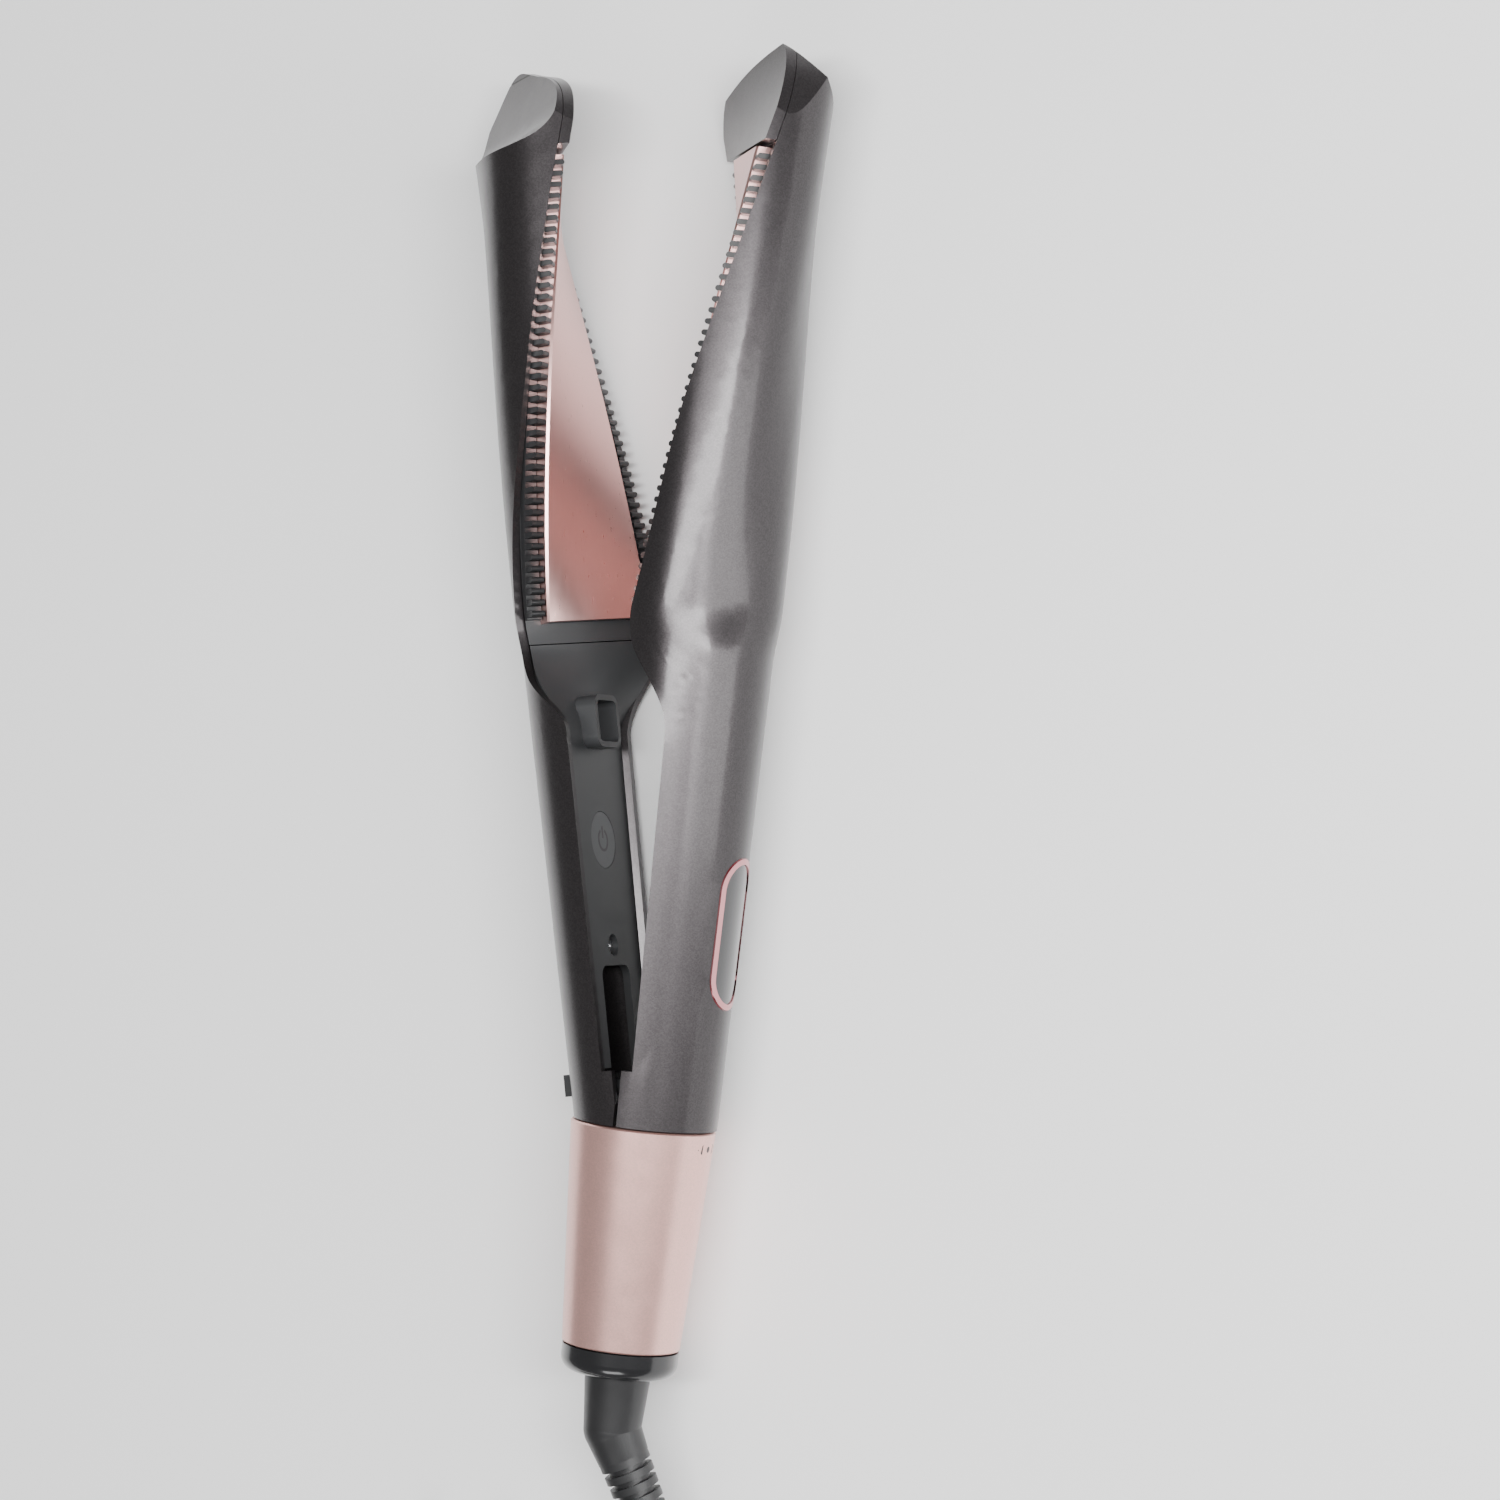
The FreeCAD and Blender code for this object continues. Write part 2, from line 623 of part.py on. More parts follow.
def tail_core():
    """Fixed tube that the dial turns on, with the flange and lugs of the hinge."""
    y, top = HINGE_STATION, SHELL_START + 1.8
    tube = rotated_ring([(CORE_BORE, CAP_FLOOR + 0.05), (CORE_RADIUS, CAP_FLOOR + 0.05),
                         (CORE_RADIUS, DIAL_END + 0.25), (CORE_BORE, DIAL_END + 0.25)])
    inner = section(SHELL_START)[0] - WALL
    disc = Part.makeCylinder(inner - 1.4, top - DIAL_END - 0.2, Vector(0, DIAL_END + 0.2, 0), Vector(0, 1, 0))
    wide = Part.makeCylinder(inner - FIT, top - DIAL_END - 0.2, Vector(0, DIAL_END + 0.2, 0), Vector(0, 1, 0))
    wide = wide.common(box((1.0, 40), (0, 100), (-40, 40)))
    wires = Part.makeCylinder(CORE_BORE - 3.0, 10, Vector(3.5, DIAL_END - 4, 0), Vector(0, 1, 0))
    frame = tube.fuse([disc, wide]).cut(wires)
    bore = Part.makeCylinder(PIN_RADIUS + RUNNING_FIT, 60, Vector(0, y, -30))
    for low in (LUG_INNER, -LUG_OUTER):
        eye = Part.makeCylinder(LUG_RADIUS, LUG_OUTER - LUG_INNER, Vector(0, y, low))
        foot = box((-LUG_RADIUS, LUG_RADIUS), (top - 0.5, y), (low, low + LUG_OUTER - LUG_INNER))
        frame = frame.fuse([eye, foot])
    return frame.cut(bore)


def dial_wall(s):
    """Outer radius of the dial at a station."""
    return mix(DIAL_RADIUS_CORD, DIAL_RADIUS_ARMS, (s - DIAL_START) / (DIAL_END - DIAL_START))


def dial():
    """Tapered sleeve carried on two rings."""
    bore, edge = CORE_RADIUS + DIAL_FIT, 0.35
    low, high = DIAL_START + DIAL_RING, DIAL_END - DIAL_RING
    return rotated_ring([
        (bore, DIAL_START), (dial_wall(DIAL_START) - edge, DIAL_START), (dial_wall(DIAL_START), DIAL_START + edge),
        (dial_wall(DIAL_END), DIAL_END - edge), (dial_wall(DIAL_END) - edge, DIAL_END), (bore, DIAL_END),
        (bore, high), (dial_wall(high) - DIAL_WALL, high), (dial_wall(low) - DIAL_WALL, low), (bore, low),
    ])


def dial_parts():
    """Switch on the core and the two-fingered cam in the sleeve that works it."""
    end = DIAL_END - DIAL_RING - 0.3
    low = end - 4.0
    room = dial_wall(low) - DIAL_WALL - CAM_GAP - CORE_RADIUS
    top, under, over = CORE_RADIUS + SWITCH_SHARE * room, CORE_RADIUS + CAM_SHARE * room, CORE_RADIUS + room
    switch = box((CORE_RADIUS + 0.05, top), (end - 6.0, end), (-SWITCH_HALF_WIDTH, SWITCH_HALF_WIDTH))
    switch = switch.cut(Part.makeCylinder(CORE_RADIUS + 0.05, 100, Vector(0, 0, 0), Vector(0, 1, 0)))
    outer = Part.makeCylinder(over, 3.4, Vector(0, low, 0), Vector(0, 1, 0))
    ring = outer.cut(Part.makeCylinder(CORE_RADIUS + 0.3, 4, Vector(0, low - 0.2, 0), Vector(0, 1, 0)))
    bridge = outer.cut(Part.makeCylinder(under, 4, Vector(0, low - 0.2, 0), Vector(0, 1, 0)))
    sector = wedge(CAM_ANGLE + CAM_HALF_ANGLE)
    finger = wedge(CAM_ANGLE + CAM_HALF_ANGLE).cut(wedge(CAM_ANGLE - CAM_HALF_ANGLE))
    cam = bridge.common(sector).fuse(ring.common(finger)).removeSplitter()
    return switch, cam


def wedge(half_angle):
    """Prism about the long axis that holds azimuths up to half_angle each side of +X."""
    reach = 30.0
    rise = reach * math.tan(math.radians(half_angle))
    corners = [Vector(0, 0, 0), Vector(reach, 0, rise), Vector(reach, 0, -rise)]
    return Part.Face(Part.makePolygon(corners + corners[:1])).extrude(Vector(0, 100, 0))


def end_cap():
    hole = NECK_RADIUS_CAP + 0.1
    ring = rotated_ring([(hole, 0), (CAP_RADIUS, 0), (CAP_RADIUS, CAP_LENGTH),
                         (CORE_RADIUS + 0.05, CAP_LENGTH), (CORE_RADIUS + 0.05, CAP_FLOOR), (hole, CAP_FLOOR)])
    corner = [e for e in ring.Edges if e.Curve.TypeId == "Part::GeomCircle"
              and abs(e.Curve.Radius - CAP_RADIUS) < 1e-3 and abs(e.CenterOfMass.y) < 1e-3]
    return ring.makeFillet(CAP_ROUND, corner)


# ---- lock slider ----

def lock_parts():
    radius = section(LOCK_START + LOCK_LENGTH + LOCK_TRAVEL)[0] + 0.1
    end = LOCK_START + LOCK_LENGTH
    ring = Part.makeCylinder(radius + LOCK_PROUD, LOCK_LENGTH, Vector(0, LOCK_START, 0), Vector(0, 1, 0))
    ring = ring.cut(Part.makeCylinder(radius, LOCK_LENGTH, Vector(0, LOCK_START, 0), Vector(0, 1, 0)))
    knob = ring.common(box((0, 40), (0, 100), (-LOCK_HALF_WIDTH, LOCK_HALF_WIDTH)))
    groove = box((radius + LOCK_PROUD - 0.5, 40), (-0.35, 0.35), (-20, 20))
    for k in (-1, 0, 1):
        copy = groove.copy()
        copy.translate(Vector(0, 0.5 * (LOCK_START + end) + 1.4 * k, 0))
        knob = knob.cut(copy)
    inside = section(LOCK_START)[0] - WALL - 1.1
    half = LOCK_STEM_HALF_WIDTH
    stem = box((inside, radius + 0.4), (LOCK_START + 1.0, end - 1.0), (-half, half))
    slot = box((inside, 40), (LOCK_START + 0.7, end - 0.7 + LOCK_TRAVEL), (-half - 0.3, half + 0.3))
    base = box((inside - 1.2, inside - 0.05), (LOCK_START - 1.0, end + 1.5), (-4.8, 4.8))
    return knob.fuse(stem), base, slot


# ---- cord neck and strain relief ----

def bend_direction():
    bend, around = math.radians(BEND_ANGLE), math.radians(BEND_AZIMUTH)
    return Vector(math.sin(bend) * math.cos(around), -math.cos(bend), -math.sin(bend) * math.sin(around))


def swivel_neck():
    """Elbow that turns in the end cap, held by a flange inside it."""
    centre = Vector(0, -NECK_LENGTH, 0)
    way = bend_direction()
    flange = Part.makeCylinder(CORE_BORE - 0.35, 1.6, Vector(0, CAP_FLOOR + 0.15, 0), Vector(0, 1, 0))
    throat = Part.makeCylinder(NECK_RADIUS_CAP, CAP_FLOOR + 0.6, Vector(0, 0, 0), Vector(0, 1, 0))
    cone = Part.makeCone(NECK_RADIUS_CAP, NECK_RADIUS_BEND, NECK_LENGTH, Vector(0, 0, 0), Vector(0, -1, 0))
    ball = Part.makeSphere(NECK_RADIUS_BEND, centre)
    mouth = Part.makeCone(NECK_RADIUS_BEND, RELIEF_RADIUS_START + 0.1, RELIEF_START, centre, way)
    return flange.fuse([throat, cone, ball, mouth]).removeSplitter()


def strain_relief():
    """Ribbed sleeve: a tapered core with a ring at every pitch."""
    count = int(RELIEF_LENGTH / RIB_PITCH)
    corners = [(0.0, 0.0), (RELIEF_RADIUS_START, 0.0)]
    for i in range(count):
        low = RIB_PITCH * i
        t = low / RELIEF_LENGTH
        rib = mix(RELIEF_RADIUS_START, RELIEF_RADIUS_END, t)
        core = mix(RELIEF_CORE_START, RELIEF_CORE_END, t)
        corners += [(rib, low + RIB_THICKNESS), (core, low + RIB_THICKNESS), (core, low + RIB_PITCH)]
        corners += [(mix(RELIEF_RADIUS_START, RELIEF_RADIUS_END, (low + RIB_PITCH) / RELIEF_LENGTH), low + RIB_PITCH)]
    last = RIB_PITCH * count
    corners += [(RELIEF_RADIUS_END, RELIEF_LENGTH), (0.0, RELIEF_LENGTH)]
    if last > RELIEF_LENGTH - 0.2:
        corners.pop(-3)
    points = [Vector(r, 0, h) for r, h in corners]
    face = Part.Face(Part.makePolygon(points + points[:1]))
    sleeve = face.revolve(Vector(0, 0, 0), Vector(0, 0, 1), 360)
    way = bend_direction()
    sleeve.Placement = Placement(Vector(0, -NECK_LENGTH, 0) + way * RELIEF_START, Rotation(Vector(0, 0, 1), way))
    return sleeve


def relief_end():
    return Vector(0, -NECK_LENGTH, 0) + bend_direction() * (RELIEF_START + RELIEF_LENGTH)


# ---- cord ----

def route_tube(points, radius, name):
    """Tube of straight runs joined by arcs that are as large as the runs allow."""
    edges, radii = [], []
    here = points[0]
    for before, corner, after in zip(points, points[1:], points[2:]):
        into, out = corner - before, after - corner
        reach = 0.45 * min(into.Length, out.Length)
        turn = into.getAngle(out)
        start = corner - into.normalize() * reach
        end = corner + out.normalize() * reach
        bend = reach / math.tan(0.5 * turn)
        radii.append(round(bend, 1))
        inward = ((start + end) * 0.5 - corner).normalize()
        depth = bend / math.cos(0.5 * turn) - bend
        edges.append(Part.makeLine(here, start))
        edges.append(Part.Arc(start, corner + inward * depth, end).toShape())
        here = end
    edges.append(Part.makeLine(here, points[-1]))
    path = Part.Wire(edges)
    way = points[1] - points[0]
    profile = Part.Wire(Part.makeCircle(radius, points[0], way))
    tube = path.makePipeShell([profile], True, False)
    share = tube.Volume / (math.pi * radius ** 2 * path.Length)
    print(name, "length", round(path.Length, 1), "arc radii", radii, "volume share", round(share, 4))
    return tube


def coil_ring(floor):
    """Outer shape of the wound cord."""
    high, low = COIL_COLUMNS[0] + CORD_RADIUS, COIL_COLUMNS[-1] - CORD_RADIUS
    height = 2 * CORD_RADIUS + COIL_PITCH * (COIL_LAYERS - 1)
    base = Vector(COIL_X, COIL_Y, floor + COIL_LIFT)
    return Part.makeCylinder(high, height, base).cut(Part.makeCylinder(low, height, base))


def cord_tie(floor):
    """Strap round the wound cord."""
    wall = TIE_THICKNESS
    half = 0.5 * TIE_WIDTH
    high = COIL_COLUMNS[0] + CORD_RADIUS + 0.1
    low = math.sqrt((COIL_COLUMNS[-1] - CORD_RADIUS) ** 2 - half ** 2) - 0.1
    height = 2 * CORD_RADIUS + COIL_PITCH * (COIL_LAYERS - 1)
    outer = box((low - wall, high + wall), (-half, half), (0.0, height + COIL_LIFT + 0.1 + wall))
    inner = box((low, high), (-half, half), (wall, height + COIL_LIFT + 0.1))
    band = outer.cut(inner)
    band.rotate(Vector(0, 0, 0), Vector(0, 0, 1), TIE_ANGLE)
    band.translate(Vector(COIL_X, COIL_Y, floor))
    return band


def plug(floor):
    """Two-pin plug lying flat with its pins towards +Y."""
    mid = floor + 0.5 * PLUG_THICKNESS
    start = PLUG_Y + PLUG_TAIL
    end = start + PLUG_LENGTH
    widest = start + 0.62 * PLUG_LENGTH
    half_neck, half_wide, half_face = 0.5 * PLUG_NECK_WIDTH, 0.5 * PLUG_WIDTH, 0.5 * PLUG_FACE_WIDTH
    side = [(half_neck, start), (half_wide, widest), (half_wide, widest + 4.0), (half_face, end)]
    corners = [Vector(PLUG_X + x, y, floor) for x, y in side]
    corners += [Vector(PLUG_X - x, y, floor) for x, y in reversed(side)]
    body = Part.Face(Part.makePolygon(corners + corners[:1])).extrude(Vector(0, 0, PLUG_THICKNESS))
    upright = [e for e in body.Edges if abs(e.Vertexes[0].Z - e.Vertexes[-1].Z) > 1.0]
    body = body.makeFillet(2.0, upright)
    tail = Part.makeCone(CORD_RADIUS + 0.6, CORD_RADIUS + 1.8, PLUG_TAIL + 1.0,
                         Vector(PLUG_X, PLUG_Y, mid), Vector(0, 1, 0))
    pins = []
    for k in (-1, 1):
        foot = Vector(PLUG_X + 0.5 * k * PIN_SPACING, end, mid)
        pin = Part.makeCylinder(PLUG_PIN_RADIUS, PIN_LENGTH, foot, Vector(0, 1, 0))
        pins.append(pin.makeFillet(0.9, [e for e in pin.Edges if abs(e.CenterOfMass.y - end - PIN_LENGTH) < 1e-3]))
    return body.fuse(tail), Part.makeCompound(pins), mid


# ---- the whole iron ----

def build():
    parts = {}
    facet = tip_cutter(FACET_AZIMUTH, FACET_PROFILE)
    scoop = tip_cutter(SCOOP_AZIMUTH, SCOOP_PROFILE)

    def rear(name, shape):
        parts[name] = swing_open(half_turn(shape))

    # display arm, fixed to the tail
    bezel_hole = stadium(BEZEL_WIDTH + 0.1, BEZEL_LENGTH + 0.1, DISPLAY_STATION)
    front = arm_shell(facet).cut(tail_end()).cut(bezel_hole)
    parts["front_shell"] = front.fuse(screw_post(FRONT_SCREW_STATION))
    parts["front_tip_cap"] = tip_cap(facet)
    parts["front_carrier"] = carrier()
    parts["front_comb_upper"] = comb(1)
    parts["front_comb_lower"] = comb(-1)
    parts["front_plate"] = plate()
    parts["front_heater"] = heater()
    parts["front_thermal_fuse"] = thermal_fuse()
    parts["front_heater_leads"] = heater_leads()
    parts["front_inner_cover"] = cover_blank(FRONT_SCREW_STATION)
    parts["front_screw"] = screw(FRONT_SCREW_STATION)

    reach = 0.5 * BEZEL_LENGTH + 1.0
    start, end = DISPLAY_STATION - reach, DISPLAY_STATION + reach
    rim = stadium(BEZEL_WIDTH, BEZEL_LENGTH, DISPLAY_STATION)
    glass = stadium(BEZEL_WIDTH - 2 * BEZEL_RIM, BEZEL_LENGTH - 2 * BEZEL_RIM, DISPLAY_STATION)
    gap = stadium(BEZEL_WIDTH - 2 * BEZEL_RIM + 0.1, BEZEL_LENGTH - 2 * BEZEL_RIM + 0.1, DISPLAY_STATION)
    parts["display_bezel"] = grip_tube(BEZEL_PROUD, -BEZEL_DEPTH, start, end).common(rim).cut(gap)
    parts["display_lens"] = grip_tube(LENS_PROUD, -BEZEL_DEPTH, start, end).common(glass)
    depth = section(start)[0] - WALL
    parts["display_module"] = box((depth - 5.0, depth - 1.6), (DISPLAY_STATION - 14, DISPLAY_STATION + 14), (-6, 6))
    parts["control_board"] = box((depth - 6.7, depth - 5.1), (DISPLAY_STATION - 24, DISPLAY_STATION + 24), (-9, 9))

    # tail
    parts["tail_core"] = tail_core()
    parts["end_cap"] = end_cap()
    parts["hinge_pin"] = hinge_pin()
    parts["hinge_spring"] = hinge_spring()
    parts["dial_switch"], parts["dial_cam"] = dial_parts()
    parts["dial"] = dial()

    # rear arm, swung open
    knob, lock_base, slot = lock_parts()
    shell = arm_shell(scoop).cut(slot).fuse(screw_post(REAR_SCREW_STATION))
    opened = swing_open(half_turn(shell)).cut(tail_end())
    parts["rear_shell"] = opened.cut(box((-0.3, 40), (SHELL_START - 20, THROAT_END - 1.0), (-40, 40)))
    rear("rear_tip_cap", tip_cap(scoop))
    for piece in ("carrier", "comb_upper", "comb_lower", "plate", "heater", "thermal_fuse", "heater_leads"):
        rear("rear_" + piece, parts["front_" + piece])
    rear("rear_inner_cover", rear_cover())
    rear("rear_screw", screw(REAR_SCREW_STATION))
    rear("power_button", power_button())
    switch, behind = power_switch()
    rear("power_switch", switch)
    rear("switch_board", box((behind, behind + 1.4), (BUTTON_STATION - 13, BUTTON_STATION + 12), (-8, 8)))
    rear("lock_slider", knob)
    rear("lock_plate", lock_base)
    parts["rear_hinge_block"] = hinge_block()

    # swivel
    parts["swivel_neck"] = swivel_neck()
    parts["strain_relief"] = strain_relief()

    body = Part.makeCompound(list(parts.values())).optimalBoundingBox(False, False)
    floor = body.ZMin
    # cord: x and y as on the plan, z as a height over the surface that the iron lies on
    exit_point, way = relief_end(), bend_direction()
    rest = floor + COIL_LIFT + CORD_RADIUS
    top = rest + COIL_PITCH * (COIL_LAYERS - 1)
    lead = [exit_point + way * CORD_GAP, exit_point + way * 14.0]
    lead += [Vector(28.0, -78.5, floor + 7.4), Vector(32.0, -97.5, floor + 5.0), Vector(34.7, -117.0, rest + 0.2),
             Vector(36.0, -136.0, rest), Vector(COIL_X + COIL_COLUMNS[0], COIL_Y, rest)]
    ring = coil_ring(floor)
    parts["cord_lead"] = route_tube(lead, CORD_RADIUS, "cord_lead").cut(ring)
    parts["cord_coil"] = ring
    parts["cord_tie"] = cord_tie(floor)
    parts["plug_body"], parts["plug_pins"], mid = plug(floor)
    leave = math.radians(170.0)
    outer = COIL_COLUMNS[0]
    end = [Vector(COIL_X + outer * math.cos(leave), COIL_Y + outer * math.sin(leave), top),
           Vector(-42.0, -135.2, floor + 14.0), Vector(PLUG_X, -123.0, mid), Vector(PLUG_X, PLUG_Y, mid)]
    parts["cord_end"] = route_tube(end, CORD_RADIUS, "cord_end").cut(ring)

    # origin: the middle of the open iron's footprint, on the surface
    shift = Vector(-body.Center.x, -body.Center.y, -floor)
    return {name: moved(shape, shift) for name, shape in parts.items()}, shift, lead, end


def moved(shape, shift):
    copy = shape.copy()
    copy.translate(shift)
    return copy


def main():
    os.makedirs("parts", exist_ok=True)
    parts, shift, lead, end = build()
    for name, shape in parts.items():
        if not shape.isValid():
            print("NOT VALID", name)
        print(name, len(shape.Solids), round(shape.Volume, 1))
        shape.exportStep("parts/" + name + ".step")
    print("shift", tuple(round(value, 4) for value in shift))
    print("hinge", tuple(round(value, 4) for value in Vector(0, HINGE_STATION, 0) + shift))
    print("floor height under the axis", round(shift.z, 3))


main()
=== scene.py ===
"""Finishes, cord and small detail of a flat iron with twisted plates, laid out as an add-on."""
import json
import math

import bmesh
import bpy
from bpy.props import FloatProperty, FloatVectorProperty, IntProperty, PointerProperty
from bpy.types import Operator, Panel, PropertyGroup
from mathutils import Matrix, Vector


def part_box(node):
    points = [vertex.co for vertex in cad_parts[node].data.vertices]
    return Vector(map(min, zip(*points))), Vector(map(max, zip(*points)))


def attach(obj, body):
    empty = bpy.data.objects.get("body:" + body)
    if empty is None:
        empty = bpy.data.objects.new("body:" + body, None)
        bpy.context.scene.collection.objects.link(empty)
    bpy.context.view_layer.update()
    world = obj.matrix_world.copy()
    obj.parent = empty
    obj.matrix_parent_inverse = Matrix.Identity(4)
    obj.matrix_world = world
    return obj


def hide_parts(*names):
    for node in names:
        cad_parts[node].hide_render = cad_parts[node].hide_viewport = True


bl_info = {
    "name": "Flat Iron Finishes",
    "version": (1, 0, 0),
    "blender": (4, 5, 0),
    "location": "3D View > Sidebar > Flat Iron",
    "description": "Finishes, cord and small detail of a flat iron",
    "category": "Object",
}

MM = 0.001
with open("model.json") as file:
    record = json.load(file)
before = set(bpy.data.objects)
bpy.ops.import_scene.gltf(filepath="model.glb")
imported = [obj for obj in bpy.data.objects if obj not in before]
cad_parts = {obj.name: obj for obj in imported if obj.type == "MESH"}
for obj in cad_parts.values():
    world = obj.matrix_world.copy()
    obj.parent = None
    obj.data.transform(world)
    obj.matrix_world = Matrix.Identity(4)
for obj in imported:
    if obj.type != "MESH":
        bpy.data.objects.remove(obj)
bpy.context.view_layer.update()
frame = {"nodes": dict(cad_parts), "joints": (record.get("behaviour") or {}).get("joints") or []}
HINGE = Vector(next(j for j in frame["joints"] if j["name"] == "arm_hinge")["pos_m"])
HINGE_STATION = 62.5 * MM
ZERO = HINGE - Vector((0.0, HINGE_STATION, 0.0))   # middle of the end cap's outer face
OPEN_ANGLE = math.radians(12.5)
AXIS_HEIGHT = ZERO.z

# Cones round the long axis, in millimetres: first station, length, first radius and growth in radius.
GRIP_CONE = (56.5, 93.5, 16.6, 1.5)
DIAL_CONE = (6.3, 49.8, 13.35, 3.05)

# The wound cord, in millimetres.
COIL_CENTRE = (-4.0, -154.0)
COIL_COLUMNS = (40.6, 34.5, 28.4)
COIL_PITCH = 6.1
COIL_REST = 4.1          # its lowest control points above the table

FLOOR_HALF = 6.0
FLOOR_DEPTH = -0.0002
WORLD_STRENGTH = 0.28
SENSOR_WIDTH = 36.0
AIM_RIGHT, AIM_UP = 0.0297, 0.140        # from the end cap to the middle of the picture
LAMP_STATION = 160.0
# Each lamp: its place from LAMP_STATION in metres, its width and height, and its share of the key power.
LAMPS = (
    ("key", (0.34, 0.05, 1.00), 0.14, 1.2, 1.0),
    ("side", (0.90, 0.0, 0.45), 0.22, 1.0, 0.3),
    ("tail", (0.10, -0.9, 0.55), 0.5, 0.3, 0.15),
)


# ---- places ----

def spot(x, s, z):
    """Point from millimetres along X, along the iron from the end cap, and along Z from the long axis."""
    return ZERO + Vector((x, s, z)) * MM


def rear_spot(u, v, s):
    """Point on the open rear arm: u across the parting plane, v out from it, s along, in millimetres."""
    point = Matrix.Rotation(OPEN_ANGLE, 3, 'Z') @ Vector((-v, s - HINGE_STATION / MM, -u))
    return HINGE + point * MM


def cone_spot(cone, across, s, height):
    """Point over a cone of the handle: across along its curve, s along, height out, in millimetres."""
    start, length, first, growth = cone
    radius = first + growth * (s - start) / length + height
    angle = across / radius
    return spot(radius * math.cos(angle), s, radius * math.sin(angle))


# ---- mesh helpers ----

def add_object(name, data, body):
    piece = bpy.data.objects.new(name, data)
    bpy.context.scene.collection.objects.link(piece)
    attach(piece, body)
    return piece


def mesh_from(name, verts, faces, smooth=False):
    mesh = bpy.data.meshes.new(name)
    mesh.from_pydata([tuple(v) for v in verts], [], faces)
    work = bmesh.new()
    work.from_mesh(mesh)
    bmesh.ops.recalc_face_normals(work, faces=work.faces)
    work.to_mesh(mesh)
    work.free()
    for face in mesh.polygons:
        face.use_smooth = smooth
    mesh.update()
    return mesh


def slab_mesh(name, outlines, place, low, high):
    """Thin pads: each outline is a pair of matching (inner, outer) point rows, placed at two heights."""
    verts, faces = [], []
    for inner, outer, closed in outlines:
        count, base = len(inner), len(verts)
        for height in (low, high):
            verts += [place(a, b, height) for a, b in inner]
            verts += [place(a, b, height) for a, b in outer]
        last = count if closed else count - 1
        for i in range(last):
            j = (i + 1) % count
            a, b, c, d = base + i, base + j, base + count + j, base + count + i
            top = 2 * count
            faces += [(a, b, c, d), (a + top, d + top, c + top, b + top)]
            faces += [(a, a + top, b + top, b), (d, c, c + top, d + top)]
        if not closed:
            for k in (0, count - 1):
                a, b = base + k, base + count + k
                faces.append((a, b, b + 2 * count, a + 2 * count))
    return mesh_from(name, verts, faces)


def ring_rows(radius, width, start, end, count):
    """Rows of an arc band; angles in degrees."""
    inner, outer = [], []
    for i in range(count):
        angle = math.radians(start + (end - start) * i / (count - 1))
        c, s = math.cos(angle), math.sin(angle)
        inner.append(((radius - 0.5 * width) * c, (radius - 0.5 * width) * s))
        outer.append(((radius + 0.5 * width) * c, (radius + 0.5 * width) * s))
    return inner, outer


def stadium_row(width, length, count=20):
    """Round-ended outline as (across, along) points."""
    radius, half = 0.5 * width, 0.5 * (length - width)
    row = []
    for end, first in ((1, 0.0), (-1, 180.0)):
        for i in range(count + 1):
            angle = math.radians(first + 180.0 * i / count)
            row.append((radius * math.cos(angle), end * half + radius * math.sin(angle)))
    return row


def tube_mesh(name, path, radius, sides=20):
    """Round tube along a row of points, with closed ends."""
    verts, faces = [], []
    way = (path[1] - path[0]).normalized()
    side = way.orthogonal().normalized()
    for i, point in enumerate(path):
        ahead = path[min(i + 1, len(path) - 1)] - path[max(i - 1, 0)]
        turn = way.rotation_difference(ahead.normalized())
        side = (turn @ side).normalized()
        way = ahead.normalized()
        other = way.cross(side)
        for k in range(sides):
            angle = 2.0 * math.pi * k / sides
            verts.append(point + (side * math.cos(angle) + other * math.sin(angle)) * radius)
    for i in range(len(path) - 1):
        for k in range(sides):
            a, b = i * sides + k, i * sides + (k + 1) % sides
            faces.append((a, b, b + sides, a + sides))
    faces.append(tuple(reversed(range(sides))))
    faces.append(tuple(range((len(path) - 1) * sides, len(path) * sides)))
    return mesh_from(name, verts, faces, smooth=True)


def spline_points(points, resolution):
    """Points along a smooth NURBS line that has these as its control points."""
    data = bpy.data.curves.new("route", 'CURVE')
    data.dimensions = '3D'
    line = data.splines.new('NURBS')
    line.points.add(len(points) - 1)
    for knot, point in zip(line.points, points):
        knot.co = (point.x, point.y, point.z, 1.0)
    line.order_u = 3
    line.use_endpoint_u = True
    line.resolution_u = resolution
    holder = bpy.data.objects.new("route", data)
    bpy.context.scene.collection.objects.link(holder)
    bpy.context.view_layer.update()
    mesh = bpy.data.meshes.new_from_object(holder)
    row = [v.co.copy() for v in mesh.vertices]
    bpy.data.objects.remove(holder)
    bpy.data.meshes.remove(mesh)
    return row


# ---- shader helpers ----

class Level:
    """One number in a shader; sums and products of levels add the nodes they need."""

    def __init__(self, finish, socket):
        self.finish = finish
        self.socket = socket

    def __add__(self, other):
        return self.finish.maths('ADD', self, other)

    __radd__ = __add__

    def __mul__(self, other):
        return self.finish.maths('MULTIPLY', self, other)

    __rmul__ = __mul__

    def __sub__(self, other):
        return self.finish.maths('SUBTRACT', self, other)

    def __rsub__(self, other):
        return self.finish.maths('SUBTRACT', other, self)


